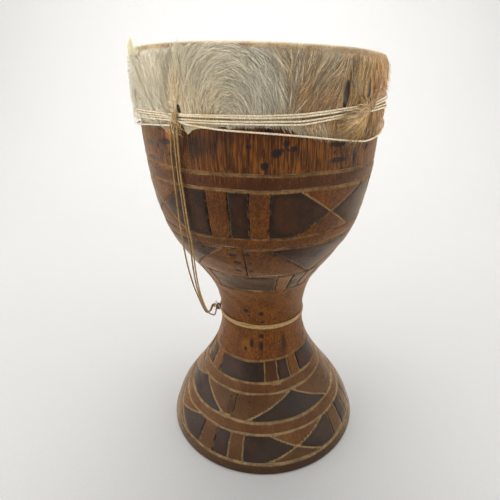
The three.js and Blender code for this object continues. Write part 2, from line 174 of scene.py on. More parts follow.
class Nodes:
    # a short way to wire a material
    def __init__(self, name):
        self.material = bpy.data.materials.new(name)
        self.material.use_nodes = True
        self.tree = self.material.node_tree
        self.tree.nodes.clear()

    def add(self, kind, inputs=None, out=0, **settings):
        node = self.tree.nodes.new(kind)
        for key, value in settings.items():
            setattr(node, key, value)
        for key, value in (inputs or {}).items():
            if isinstance(value, bpy.types.NodeSocket):
                self.tree.links.new(value, node.inputs[key])
            else:
                node.inputs[key].default_value = value
        return node.outputs[out]

    def math(self, operation, a, b, clamp=False):
        return self.add("ShaderNodeMath", {0: a, 1: b}, operation=operation, use_clamp=clamp)

    def ramp(self, value, low, high, start=0.0, end=1.0):
        return self.add("ShaderNodeMapRange", {0: value, 1: low, 2: high, 3: start, 4: end},
                        interpolation_type="SMOOTHSTEP")

    def mix(self, amount, a, b, blend="MIX"):
        return self.add("ShaderNodeMix", {0: amount, 6: a, 7: b}, out=2, data_type="RGBA",
                        blend_type=blend)

    def blend(self, amount, a, b):
        return self.add("ShaderNodeMix", {0: amount, 2: a, 3: b}, data_type="FLOAT")

    def number(self, name):
        return self.add("ShaderNodeAttribute", out=2, attribute_name=name)

    def colour(self, name):
        return self.add("ShaderNodeAttribute", attribute_name=name)

    def objectPlace(self, scale=(1, 1, 1)):
        place = self.add("ShaderNodeTexCoord", out=3)
        return self.add("ShaderNodeMapping", {0: place, 3: scale})

    def noise(self, place, scale, detail, roughness, distortion=0.0):
        return self.add("ShaderNodeTexNoise", {"Vector": place, "Scale": scale, "Detail": detail,
                                               "Roughness": roughness, "Distortion": distortion})

    def cells(self, place, scale):
        return self.add("ShaderNodeTexVoronoi", {"Vector": place, "Scale": scale})

    def bump(self, height, distance, strength):
        return self.add("ShaderNodeBump", {"Strength": strength, "Distance": distance,
                                           "Height": height})

    def finish(self, inputs):
        shader = self.add("ShaderNodeBsdfPrincipled", inputs)
        output = self.tree.nodes.new("ShaderNodeOutputMaterial")
        self.tree.links.new(shader, output.inputs[0])
        return self.material


# Camera, as the photograph was taken
camera = {"place": (0.0, -0.3779, 0.3594), "turn": (66.883, 1.204, 1.199), "lens": 28.56,
          "sensor": 36.0}
bpy.ops.object.camera_add(location=camera["place"],
                          rotation=[math.radians(angle) for angle in camera["turn"]])
photoCamera = bpy.context.object
photoCamera.data.lens = camera["lens"]
photoCamera.data.sensor_width = camera["sensor"]
bpy.context.scene.camera = photoCamera
bpy.context.scene.view_settings.view_transform = "Standard"
print("camera placed")


# Twine

twine = {
    "diameter": 1.5,
    "plies": 3,
    "turn": 8.5,         # length of one turn of the plies
    "valley": 0.8,       # radius between two plies, as a share of the full one
    "sides": 9,
    "step": 0.8,
}


def twineTube(name, line, diameter=twine["diameter"], step=twine["step"], sides=twine["sides"],
              taper=0.0):
    # a tube of twisted plies along a line, closed at both ends
    line = evenSteps(np.asarray(line, float), step)
    tangents = np.gradient(line, axis=0)
    tangents /= np.linalg.norm(tangents, axis=1)[:, None]
    count = len(line)
    side = np.cross(tangents[0], [0.31, 0.17, 0.93])
    side /= np.linalg.norm(side)
    rings = np.empty((count, sides, 3))
    lobes = np.arange(sides) * 2 * math.pi / sides
    shape = 1 - (1 - twine["valley"]) * (0.5 - 0.5 * np.cos(lobes * twine["plies"]))
    for index in range(count):
        along = tangents[index]
        side = side - along * np.dot(side, along)
        side /= np.linalg.norm(side)
        up = np.cross(along, side)
        spin = lobes + 2 * math.pi * index * step / twine["turn"]
        radius = diameter / 2 * shape * (1 - taper * index / (count - 1))
        rings[index] = (line[index] + np.cos(spin)[:, None] * radius[:, None] * side
                        + np.sin(spin)[:, None] * radius[:, None] * up)
    vertices = rings.reshape(-1, 3)
    faces = []
    for index in range(count - 1):
        for s in range(sides):
            a = index * sides + s
            b = index * sides + (s + 1) % sides
            faces.append((a, b, b + sides, a + sides))
    faces.append(tuple(range(sides - 1, -1, -1)))
    faces.append(tuple((count - 1) * sides + s for s in range(sides)))
    piece = meshPiece(name, vertices, faces)
    piece.data.polygons.foreach_set("use_smooth", [True] * (len(faces) - 2) + [False] * 2)
    setNumbers(piece, "valley", np.tile(1 - shape, count))
    return piece


def twineMaterial(name, light, dark, stain):
    n = Nodes(name)
    place = n.objectPlace()
    fibre = n.noise(n.objectPlace((1, 1, 0.45)), 1600, 3, 0.6)
    patch = n.noise(place, 55, 3, 0.6)
    colour = n.mix(n.ramp(fibre, 0.35, 0.68), dark, light)
    colour = n.mix(n.ramp(patch, 0.5, 0.72, 0, 0.65), colour, stain)
    # painted shade in the valleys between the plies
    colour = n.mix(n.ramp(n.number("valley"), 0.02, 0.2, 0, 0.35), colour, dark)
    bump = n.bump(fibre, 0.0002, 0.7)
    return n.finish({"Base Color": colour, "Roughness": n.ramp(fibre, 0, 1, 0.6, 0.85),
                     "Normal": bump, "Specular IOR Level": 0.3})


looseTwine = twineMaterial("looseTwine", linear(188, 156, 104), linear(120, 90, 50),
                           linear(138, 102, 56))
boundTwine = twineMaterial("boundTwine", linear(255, 247, 224), linear(198, 172, 132),
                           linear(206, 178, 130))
waistTwine = twineMaterial("waistTwine", linear(208, 178, 128), linear(132, 102, 62),
                           linear(172, 138, 88))
knotTwine = twineMaterial("knotTwine", linear(214, 186, 138), linear(140, 110, 66),
                          linear(168, 134, 86))

# Three loose strands, from the knot at the skirt down to the knot at the waist
looseStrands = {
    "hanging_cord_left": [
        [-61.4, -93.9, 332.3], [-62.2, -91.4, 327.5], [-63.6, -87.5, 320], [-64.8, -84, 309],
        [-65, -82.2, 298], [-65, -81.2, 288], [-64.9, -80.2, 275.6], [-64.6, -79.3, 258],
        [-64.1, -77.8, 241], [-63.4, -75.7, 228.2], [-62.4, -71.7, 211.7], [-60.4, -64.5, 190.8],
        [-58.3, -56.5, 174.2], [-56.3, -49.3, 160], [-54.6, -42.6, 150.3], [-53.1, -36, 146],
        [-51.9, -28.8, 145.4], [-51.4, -21.7, 145.4], [-51, -15.4, 142.4], [-50.2, -10.8, 137],
    ],
    "hanging_cord_middle": [
        [-58.8, -95.6, 332.3], [-59.3, -93.4, 327.5], [-60.2, -90, 320.4], [-60.9, -87, 310.7],
        [-61, -85.6, 299.5], [-60.8, -84.8, 290.3], [-60.4, -83.4, 279.9], [-59.9, -81.7, 264.9],
        [-59.3, -79.3, 251.5], [-58.8, -77, 240.4], [-58.4, -75, 227.8], [-58.1, -73, 212.4],
        [-57.2, -69, 193.4], [-55.8, -62.4, 177.6], [-54.1, -53.9, 162.8], [-52.4, -45.6, 153],
        [-50.8, -36.5, 148.4], [-49.6, -25, 147.4], [-48.9, -16.6, 144], [-48.2, -10.8, 137],
    ],
    "hanging_cord_right": [
        [-56.1, -97.2, 332.3], [-56.9, -94.9, 327.5], [-57.9, -91.8, 320.4], [-58.6, -88.6, 310.7],
        [-58.9, -87.2, 299.5], [-58.7, -86.4, 290.3], [-58.3, -85, 279.9], [-57.8, -83.3, 264.9],
        [-57.2, -81, 251.5], [-56.6, -78.6, 240.4], [-56.2, -76.6, 227.8], [-55.9, -74.6, 212.4],
        [-55.1, -70.8, 193.4], [-53.9, -64.6, 177.6], [-52.3, -56.5, 162.8], [-50.8, -48.2, 152.4],
        [-49.5, -41, 146.4], [-48.4, -34.5, 141.8], [-47.7, -29, 139.6], [-47.3, -24, 140.6],
        [-47, -19, 143], [-46.6, -14.5, 141.6], [-46.2, -10.8, 137],
    ],
}
for node, route in looseStrands.items():
    line = smoothPath(route, 0.6)
    strand = twineTube(node.replace("hanging_cord", "loose_strand"), line, step=0.6, sides=12)
    dress(strand, looseTwine)
    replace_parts(strand, node)
print("loose strands made")


# The wooden body

wood = {
    "top": 378.0,
    "outline": [
        [0, 105], [19, 98.2], [38, 86.4], [57, 72.5], [76, 60.4], [95, 50.8], [114, 45.2],
        [133, 43.7], [152, 45.4], [171, 51.2], [190, 62.3], [209, 75.8], [228, 87.1], [247, 94.5],
        [285, 102], [323, 104.4], [345, 104.2], [378, 101.8],
    ],
    "hollow": [
        [374.5, 92.6], [350, 91], [285, 89.5], [236, 76], [196, 50], [168, 32], [134, 26.5],
        [88, 34], [44, 62], [4, 88.6],
    ],
    "rim": [(100.8, 378.0), (97.5, 378.0), (94.5, 377.4)],
    "underside": [(92.0, 0.0), (97.0, 0.0)],
    "hollowRows": 40,
    "columns": 720,
    "rowStep": 1.6,
    "plainRows": 1.05,   # rows of bands with no cuts are this much wider
    "triangles": 188000,
    "cutDepth": 1.3,
    "lineWidth": 2.1,
    "footEdge": 1.5,
    "ringWaver": 0.28,
    "lineWaver": 0.22,
    # height, lean up to the right, lean up to the front, width and tone of each groove
    "rings": [
        (10.5, -0.6, 0.3, 3.4, 0.75), (35.4, 0.5, 0.2, 2.6, 0.95), (44.4, 1.0, 0.2, 3.2, 0.85),
        (66.9, 1.7, 0.1, 2.5, 0.85), (76.1, 1.8, 0.1, 2.5, 0.85), (96.0, 1.6, 0.0, 2.2, 0.75),
        (179.4, -0.7, 0.0, 2.2, 0.5), (202.5, -0.1, 0.0, 2.2, 0.5), (236.6, -0.8, 0.2, 2.4, 0.45),
        (246.4, 0.2, 0.2, 2.4, 0.5), (285.2, -2.7, 1.1, 2.9, 0.7), (297.9, -2.9, 0.2, 2.8, 0.65),
    ],
}

# What is cut and stained in each band, from the foot up. Each quarter has its own start.
# Bars are upright lines and slants go from one angle and share of the height to another; the
# last number of each is the tone of its cut, from dark to light. Panels are stained dark. An
# angle of 250 or more counts back from 300 at the next quarter's start.
carving = {
    1: {
        "starts": [0, 91, 181, 267],
        "bars": [(-42, 0.25), (-31, 0.25), (-21, 0.85), (-12, 0.9)],
        "slants": [(5, 1, 36, 0, 1.0), (2, 0, 43, 1, 0.85)],
        "panels": [[(-31, 0), (-21, 0), (-21, 1), (-31, 1)],
                   [(-12, 0), (2, 0), (20.4, 0.47), (5, 1), (-12, 1)],
                   [(20.4, 0.47), (36, 0), (258, 0), (258, 1), (43, 1)]],
    },
    3: {
        "starts": [0, 90, 179, 272],
        "bars": [],
        "slants": [(-12, 0, 25, 1, 1.0), (28, 1, 58, 0, 1.0)],
        "panels": [[(-12, 0), (58, 0), (28, 1), (25, 1)]],
    },
    5: {
        "starts": [0, 91, 180, 267],
        "bars": [(3, 0.8), (16.5, 0.9), (30, 0.8), (43, 0.3)],
        "slants": [],
        "panels": [[(16.5, 0), (30, 0), (30, 1), (16.5, 1)],
                   [(43, 0), (303, 0), (303, 1), (43, 1)]],
    },
    7: {
        "starts": [0, 91, 180, 271],
        "bars": [(12, 0.6), (24, 0.6), (36, 0.2), (47, 0.2)],
        "slants": [],
        "panels": [[(24, 0), (36, 0), (36, 1), (24, 1)],
                   [(50, 0), (312, 0), (312, 1), (50, 1)]],
    },
    8: {
        "starts": [0, 89, 180, 270],
        "bars": [(-9, 0.15)],
        "slants": [(3, 1, 33, 0, 0.3), (37, 0, 69, 1, 0.5)],
        "panels": [[(3, 1), (33, 0), (37, 0), (69, 1)]],
    },
    10: {
        "starts": [0, 91, 181, 270.7],
        "bars": [(-24, 0.1), (-14, 0.2), (-5, 0.2), (4, 0.25)],
        "slants": [(18, 1, 50, 0, 1.0), (17, 0, 53, 1, 0.35)],
        "panels": [[(-14, 0), (-5, 0), (-5, 1), (-14, 1)],
                   [(4, 0), (17, 0), (33.7, 0.47), (18, 1), (4, 1)],
                   [(33.7, 0.47), (50, 0), (276, 0), (276, 1), (53, 1)]],
    },
}

# Burnt marks: angle, height, and half width and height. Each quarter repeats them from its start.
burntStarts = (0, 90, 181, 271)
markReach = 6.0          # how far round a mark its edge is worked out
burntMarks = [
    (-13, 113.5, 2.1, 4.6), (-1, 111.5, 2.0, 4.6), (-0.5, 122.5, 2.7, 2.6),
    (-21, 107, 1.7, 2.4), (0.5, 138.6, 2.0, 1.6), (-19, 152, 2.6, 2.5), (-0.5, 149, 2.8, 2.5),
    (-16, 146, 1.2, 1.3), (-10, 141, 1.0, 1.2), (-14, 133.5, 1.4, 1.3),
    (-15, 230.4, 3.5, 2.3), (-7, 231.8, 2.7, 2.0), (-13, 222.4, 3.3, 2.2), (-14, 213, 3.0, 2.2),
    (-6, 213, 2.6, 2.0), (-6, 222, 1.4, 1.4), (-10.5, 217, 1.0, 1.2),
    (6.2, 313.3, 3.4, 3.1), (10.0, 319.8, 2.5, 2.4), (12.9, 315.8, 2.4, 2.0),
    (9.6, 315.2, 6.4, 1.0), (1.6, 304.6, 3.0, 2.9), (3.3, 328.5, 3.4, 2.1), (-4.2, 318.4, 1.8, 2.0),
    (18, 323, 1.2, 1.4),
    (33.5, 316.4, 9.0, 2.0), (33.5, 305.4, 9.5, 2.0), (42.5, 305.6, 2.0, 5.2), (41, 315.5, 2.2, 2.2),
    (31, 311, 1.8, 1.3),
    (-42.5, 319.5, 8.5, 2.1), (-39, 310, 3.4, 2.3), (-36, 314.5, 1.8, 1.5),
    (60, 62.6, 1, 0.9), (64, 61, 0.9, 0.9), (67, 63.4, 1, 0.9), (70.5, 60.6, 0.9, 0.9),
    (74, 62.6, 0.9, 0.9), (62, 58.4, 0.9, 0.9), (68, 57.6, 0.9, 0.9), (77, 60, 0.9, 0.9),
]

# Soft stains: angle, height, half width and height, dark (1) or warm (-1), strength
stainStarts = (0, 91, 180, 270)
softStains = [
    (-24, 319, 11, 9, 1, 0.85), (-14, 324, 10, 6, 1, 0.4), (36, 311, 10, 11, 1, 0.3),
    (-50, 314, 9, 9, 1, 0.25), (-39, 327, 3.2, 9, -1, 1.0), (0, 152, 26, 9, -1, 0.2),
    (29.5, 112, 4.6, 15, 1, 0.9), (31, 171, 4.6, 7, 1, 0.65), (-64, 101, 7, 9, 1, 0.6),
    (-35, 66, 10, 12, 1, 0.25), (-26, 54, 4, 8, 1, 0.6), (12, 4, 70, 8, 1, 0.65),
    (-40, 246, 20, 8, 1, 0.15), (9, 290, 26, 5, 1, 0.2), (-20, 110, 14, 12, -1, 0.3),
]

# Slips of the knife beside a groove: from angle and height to angle and height
slips = [
    (-34, 47.8, -24, 46.4), (8, 74.6, 18, 73.8), (97, 71, 110, 69.2), (152, 36.5, 166, 38.4),
    (201, 203.2, 214, 203.8), (240, 68.2, 256, 66.8),
]
crack = {"angle": -22.6, "low": 46, "high": 67.5, "width": 1.1, "fadeIn": 5, "fadeOut": 4}


def woodRadius(height):
    return smoothCurve(wood["outline"], height)


def degreeLength(height):
    # millimetres round the wood in one degree
    return math.radians(1) * woodRadius(height)


def woodTilt(height):
    # how much longer a step is along the wood than straight up, and its slope
    above = np.minimum(height + 0.5, wood["top"])
    slope = woodRadius(above) - woodRadius(np.maximum(height - 0.5, 0))
    return np.hypot(1, slope), slope


def rimLean(angle, height):
    # the rim is not quite level: it stands higher at the left and the front
    turn = np.radians(angle)
    return (2.0 * np.cos(turn) - 4.6 * np.sin(turn)) * smoothStep(height, 345, 377)


def burntAt(angle, height):
    # millimetres inside a burnt mark, negative outside
    across = degreeLength(height)
    draw = np.random.default_rng(21)
    burnt = np.full(angle.shape, -markReach)
    for start in burntStarts:
        for mark, (at, middle, halfWide, halfHigh) in enumerate(burntMarks):
            shiftA, shiftH = draw.normal(0, 1.6), draw.normal(0, 1.5)
            if start == 0:
                shiftA, shiftH = 0, 0
            elif (mark * 7 + start) % 4 == 0:
                continue
            gapH = height - middle - shiftH
            near = np.abs(gapH) < halfHigh + markReach
            gapA = angleApart(angle[near], start + at + shiftA) * across[near]
            level = (1 - np.hypot(gapA / halfWide, gapH[near] / halfHigh)) * min(halfWide, halfHigh)
            burnt[near] = np.maximum(burnt[near], level)
    return burnt


def ringHeight(ring, angle):
    height, right, front = ring[:3]
    turn = np.radians(angle)
    return height + right * np.sin(turn) + front * np.cos(turn)


def bandEdges(band, angle):
    rings = wood["rings"]
    low = ringHeight(rings[band - 1], angle) if band else wood["footEdge"] + 0 * angle
    high = ringHeight(rings[band], angle) if band < len(rings) else wood["top"] + 0 * angle
    if band:
        low = low + rings[band - 1][3] / 2 / woodTilt(low)[0]
    if band < len(rings):
        high = high - rings[band][3] / 2 / woodTilt(high)[0]
    return low, high


def ringGap(ring, angle, height):
    # distance above a ring groove, whose hand-cut line wavers a little
    seed = int(ring[0] * 10)
    waver = wood["ringWaver"] * ripple(np.radians(angle), seed, 3, 11, 4)
    middle = ringHeight(ring, angle) + waver
    return (height - middle) * woodTilt(middle)[0]


def lineGap(line, start, angle, share, height, bandHeight):
    # distance from a bar or slant of a band, worked out along the wood
    angle0, share0, angle1, share1 = line
    slope = (angle1 - angle0) / (share1 - share0)
    across = degreeLength(height)
    inside = np.clip(share, 0, 1)
    at = angle0 + (angle1 - angle0) * (inside - share0) / (share1 - share0)
    seed = int(abs(angle0 * 7 + start))
    waver = wood["lineWaver"] * ripple(inside * 6.0, seed, 0.6, 2.2, 3)
    lean = slope * across / bandHeight
    gap = (angleApart(angle, start + at) * across + waver) / np.hypot(1, lean)
    upper = np.sign(gap) * (-1 if slope > 0 else 1)
    return np.hypot(gap, np.abs(share - inside) * bandHeight) * upper


def panelDepth(panel, start, angle, share, height, bandHeight):
    # how far inside a stained panel a point lies, in millimetres; negative outside
    across = degreeLength(height)
    middle = sum(a for a, _ in panel) / len(panel)
    centre = start + middle
    x = [(a - middle) * across for a, _ in panel]
    y = [s * bandHeight for _, s in panel]
    px = angleApart(angle, centre) * across
    py = share * bandHeight
    nearest = np.full(px.shape, 1e9)
    inside = np.zeros(px.shape, bool)
    for i in range(len(panel)):
        x0, y0, x1, y1 = x[i], y[i], x[i - 1], y[i - 1]
        dx, dy = x1 - x0, y1 - y0
        t = np.clip(((px - x0) * dx + (py - y0) * dy) / np.maximum(dx * dx + dy * dy, 1e-9), 0, 1)
        nearest = np.minimum(nearest, np.hypot(px - x0 - t * dx, py - y0 - t * dy))
        if y0 != y1:
            crosses = (y0 > py) != (y1 > py)
            inside ^= crosses & (px < x0 + (py - y0) * dx / dy)
    return np.where(inside, nearest, -nearest)


def readCarving(angle, height):
    # depth of the cut, place across the nearest cut, its tone, and depth into stained panels
    depth = np.zeros(angle.shape)
    closeness = np.full(angle.shape, 9.0)
    side = np.full(angle.shape, 9.0)
    tone = np.zeros(angle.shape)
    stained = np.full(angle.shape, -9.0)

    def cut(where, gap, width, deep, lineTone):
        signed = gap / (width / 2)
        ratio = np.abs(signed)
        shape = np.where(signed < 0.4, (1 + signed) / 1.4, (1 - signed) / 0.6)
        shape = np.clip(shape, 0, 1)
        depth[where] = np.maximum(depth[where], deep * shape)
        nearer = ratio < closeness[where]
        closeness[where] = np.where(nearer, ratio, closeness[where])
        side[where] = np.where(nearer, signed, side[where])
        tone[where] = np.where(nearer, lineTone, tone[where])

    def part(near, start, angles):
        # the points of a band round a line or panel
        first, last = min(angles), max(angles)
        middle = (first + last) / 2 + start
        return near & (np.abs(angleApart(angle, middle)) < (last - first) / 2 + 6)

    for ring in wood["rings"]:
        where = np.abs(height - ring[0]) < 12
        a, h = angle[where], height[where]
        swell = 1 + 0.18 * ripple(np.radians(a), int(ring[0]) + 3, 2, 9, 3)
        cut(where, ringGap(ring, a, h), ring[3] * swell, wood["cutDepth"], ring[4])
    for band, work in carving.items():
        low, high = bandEdges(band, angle)
        share = (height - low) / (high - low)
        bandHeight = float(np.mean(high - low) * woodTilt(np.mean((high + low) / 2))[0])
        near = (share > -0.25) & (share < 1.25)
        starts = work["starts"]
        for quarter, start in enumerate(starts):
            following = (starts + [360])[quarter + 1] - start
            panels = [[(a if a < 250 else following + a - 300, s) for a, s in panel]
                      for panel in work["panels"]]
            lines = [((bar, 0, bar, 1), barTone) for bar, barTone in work["bars"]]
            lines += [(slant[:4], slant[4]) for slant in work["slants"]]
            for line, lineTone in lines:
                where = part(near, start, (line[0], line[2]))
                gap = lineGap(line, start, angle[where], share[where], height[where], bandHeight)
                cut(where, gap, wood["lineWidth"], wood["cutDepth"] * 0.85, lineTone)
            for panel in panels:
                where = part(near, start, [a for a, _ in panel])
                inside = panelDepth(panel, start, angle[where], share[where], height[where],
                                    bandHeight)
                stained[where] = np.maximum(stained[where], inside)
    for angle0, height0, angle1, height1 in slips:
        where = ((np.abs(angleApart(angle, (angle0 + angle1) / 2)) < (angle1 - angle0) / 2 + 4)
                 & (np.abs(height - (height0 + height1) / 2) < 5))
        across = degreeLength(height[where])
        t = np.clip(angleApart(angle[where], angle0) / (angle1 - angle0), 0, 1)
        above = height[where] - height0 - t * (height1 - height0)
        gap = np.hypot((angleApart(angle[where], angle0) - t * (angle1 - angle0)) * across, above)
        cut(where, gap * np.sign(above), 1.1, 0.3, 0.95)
    where = (np.abs(angleApart(angle, crack["angle"])) < 5) & (height > 40) & (height < 72)
    a, h = angle[where], height[where]
    run = (smoothStep(h, crack["low"], crack["low"] + crack["fadeIn"])
           * smoothStep(-h, -crack["high"], crack["fadeOut"] - crack["high"]))
    offset = angleApart(a, crack["angle"] + 0.35 * np.sin(h * 0.5) + 0.07 * (h - 57))
    gap = np.abs(offset) * math.radians(1) * woodRadius(h)
    cut(where, gap + 2 * (1 - run), crack["width"] * (0.4 + 0.6 * run), 0.9, 0.0)
    return depth, side, tone, stained


def woodRows():
    # rows of the outside, each as a band and share, or a groove and a distance beside it
    rings = wood["rings"]
    rows = []
    for band in range(len(rings) + 1):
        low, high = (float(v) for v in bandEdges(band, np.float64(0)))
        arc = (high - low) * float(woodTilt((low + high) / 2)[0])
        pitch = wood["rowStep"] if band in carving else wood["rowStep"] * wood["plainRows"]
        steps = max(2, int(round(arc / pitch)))
        rows += [("band", band, step / steps) for step in range(steps + 1)]
        if band < len(rings):
            rows += [("ring", band, share) for share in (-0.33, -0.17, 0, 0.17, 0.33)]
    return rows


def rowHeight(row, angle):
    kind, index, share = row
    if kind == "band":
        low, high = bandEdges(index, angle)
        return low + (high - low) * share
    ring = wood["rings"][index]
    middle = ringHeight(ring, angle)
    return middle + share * ring[3] / woodTilt(middle)[0]


def makeWood():
    rows = woodRows()
    zero = np.float64(0)
    profile = [(wood["outline"][0][1] - wood["footEdge"], 0.0)]
    for row in rows:
        height = float(rowHeight(row, zero))
        profile.append((float(woodRadius(height)), height))
    outside = len(profile)
    profile += wood["rim"]
    inner = wood["hollow"]
    run = np.linspace(0, len(inner) - 1, wood["hollowRows"])
    heights = np.interp(run, range(len(inner)), [p[0] for p in inner])
    flipped = sorted(inner)
    profile += [(float(smoothCurve(flipped, h)), float(h)) for h in heights]
    profile += wood["underside"]

    mesh = bpy.data.meshes.new("drum_body")
    points = [(0.0, -r * mm, z * mm) for r, z in profile]
    edges = [(i, (i + 1) % len(points)) for i in range(len(points))]
    mesh.from_pydata(points, edges, [])
    body = bpy.data.objects.new("drum_body", mesh)
    bpy.context.scene.collection.objects.link(body)
    setNumbers(body, "row", np.arange(len(points)))
    turned = body.modifiers.new("turned", "SCREW")
    turned.axis = "Z"
    turned.angle = 2 * math.pi
    turned.steps = turned.render_steps = wood["columns"]
    turned.use_merge_vertices = True
    turned.merge_threshold = 0.00002
    turned.use_smooth_shade = True
    selectOnly(body)
    bpy.ops.object.modifier_apply(modifier="turned")
    bpy.ops.object.mode_set(mode="EDIT")
    bpy.ops.mesh.select_all(action="SELECT")
    bpy.ops.mesh.normals_make_consistent(inside=False)
    bpy.ops.object.mode_set(mode="OBJECT")
    mesh = body.data
    print("wood turned,", len(mesh.vertices), "points")

    rowOf = np.empty(len(mesh.vertices), np.float32)
    mesh.attributes["row"].data.foreach_get("value", rowOf)
    rowOf = np.rint(rowOf).astype(int)
    places = placesOf(body)
    angle = angleOf(places)
    pitch = 360 / wood["columns"]
    angle = np.rint(angle / pitch) * pitch
    height = places[:, 2].copy()
    outer = (rowOf >= 1) & (rowOf < outside)
    for number, row in enumerate(rows, start=1):
        where = rowOf == number
        height[where] = rowHeight(row, angle[where])
    for band, work in carving.items():    # columns gather on the upright cuts
        low, high = bandEdges(band, angle)
        inBand = outer & (height > low - 0.1) & (height < high + 0.1)
        for start in work["starts"]:
            for bar, _ in work["bars"]:
                at = start + bar
                nearest = round(at / pitch) * pitch
                steps = angleApart(angle, nearest) / pitch
                where = inBand & (np.abs(steps) < 2.5)
                half = wood["lineWidth"] / 4 / degreeLength(height[where])
                angle[where] = at + np.rint(steps[where]) * half
    depth = readCarving(angle[outer], height[outer])[0]
    depth = np.maximum(depth, 0.4 * smoothStep(burntAt(angle[outer], height[outer]), -0.3, 0.7))
    a, h = np.radians(angle[outer]), height[outer]
    hand = (0.22 * ripple(a, 3, 2, 9, 4) + 0.16 * ripple(h / 9 + 2 * np.sin(a), 5, 0.6, 2, 4)
            + 0.1 * ripple(a * 6 + h / 4, 6, 0.7, 2, 3))
    hand *= smoothStep(h, 0, 12) * smoothStep(-h, -360, -330)
    tilt, slope = woodTilt(h)
    sink = depth - hand
    places[outer] = roundPoints(angle[outer], woodRadius(h) - sink / tilt, h + sink * slope / tilt)
    places[:, 2] += rimLean(angle, places[:, 2])
    movePlaces(body, places)
    mesh.attributes.remove(mesh.attributes["row"])

    thin = body.modifiers.new("thin", "DECIMATE")
    thin.ratio = wood["triangles"] / (2 * len(mesh.polygons))
    selectOnly(body)
    bpy.ops.object.modifier_apply(modifier="thin")
    bpy.ops.object.shade_smooth_by_angle(angle=math.radians(38))
    print("wood carved,", sum(len(p.vertices) - 2 for p in body.data.polygons), "triangles")
    return body


def markWood(body):
    # writes what the finish needs to know at each point of the wood
    places = placesOf(body)
    radius = np.hypot(places[:, 0], places[:, 1])
    angle = angleOf(places)
    height = np.clip(places[:, 2], 0, wood["top"])
    inside = (radius < woodRadius(height) - 3.2) | (places[:, 2] < 0.3)
    height = np.clip(height - rimLean(angle, height), 0, wood["top"])
    _, side, tone, stained = readCarving(angle, height)
    burnt = burntAt(angle, height)
    draw = np.random.default_rng(22)
    smoky = np.zeros(angle.shape)
    warm = np.zeros(angle.shape)
    for start in stainStarts:
        for at, middle, halfAngle, halfHigh, kind, strength in softStains:
            shift = 0 if start == 0 else draw.normal(0, 5)
            level = strength * (1 if start == 0 else 0.7)
            gap = np.hypot(angleApart(angle, start + at + shift) / halfAngle,
                           (height - middle) / halfHigh)
            amount = level * (1 - smoothStep(gap, 0.35, 1.15))
            if kind > 0:
                smoky = np.maximum(smoky, amount)
            else:
                warm = np.maximum(warm, amount)
    edges = [ring[0] for ring in wood["rings"]]
    band = np.searchsorted(edges, height)
    hue = np.array(woodFinish["bandHue"])[band]
    for field, middle, half, lowest, highest, fieldHue in woodFinish["fields"]:
        low, high = bandEdges(field, angle)
        share = (height - low) / (high - low)
        within = (band == field) & (share > lowest) & (share < highest)
        for start in carving[field]["starts"]:
            near = np.abs(angleApart(angle, start + middle)) < half
            hue = np.where(within & near, fieldHue, hue)
    setNumbers(body, "closeness", np.minimum(np.abs(side), 4))
    # where a point lies across its nearest cut, plus on the cut's upper side, which gets painted
    # shade
    setNumbers(body, "side", np.clip(side, -1, 1) * (np.abs(side) < 1.6))
    setNumbers(body, "fibrous", 0.25 + 0.75 * smoothStep(height, 288, 300))
    # the lower part: dust on the plain wood and cuts, and painted bluish sheen on the panels
    setNumbers(body, "dustAndSheen", 1 - smoothStep(height, 60, 104))
    setNumbers(body, "tone", tone)
    setNumbers(body, "stained", np.where(inside, -6, np.clip(stained, -6, 12)))
    setNumbers(body, "burnt", np.where(inside, -6, np.clip(burnt, -6, 4)))
    setNumbers(body, "smoky", smoky)
    setNumbers(body, "warm", warm)
    setNumbers(body, "hue", hue)
    setNumbers(body, "inside", inside)


woodFinish = {
    # how much lighter (up to 1) or redder (down to -1) the plain wood of each band is
    "bandHue": [-0.6, -0.2, 0.05, -0.15, 0.15, -0.05, 0.5, 0.6, 0.15, 0.1, 0.1, -0.3, 0.3],
    # bars and fields that differ from their band: band, middle and half width in degrees, lowest
    # and highest share of the band's height, and hue
    "fields": [(5, 9.7, 6.7, -9, 9, -0.75), (5, 36.5, 6.5, -9, 9, 0.7),
               (1, 20, 19, -9, 0.42, -0.7), (1, 22, 19, 0.55, 9, 0.35)],
    "deep": linear(42, 20, 6),
    "brown": linear(74, 39, 12),
    "orange": linear(130, 77, 24),
    "charcoal": linear(27, 20, 15),
    # painted sheen: a bluish grey that stands in for the reflection on the dark panels
    "blueGreySheen": linear(44, 39, 36),
    "worn": linear(63, 35, 17),
    "cutLight": linear(140, 105, 64),
    "cutDust": linear(140, 118, 84),
    # the dark of dark cuts and the crack, and also the painted shade along the upper side of every
    # cut
    "cutDarkAndShade": linear(34, 20, 11),
    "burnt": linear(28, 22, 23),
    "golden": linear(152, 95, 28),
    "dust": linear(86, 68, 46),
    "bare": linear(96, 64, 38),
}


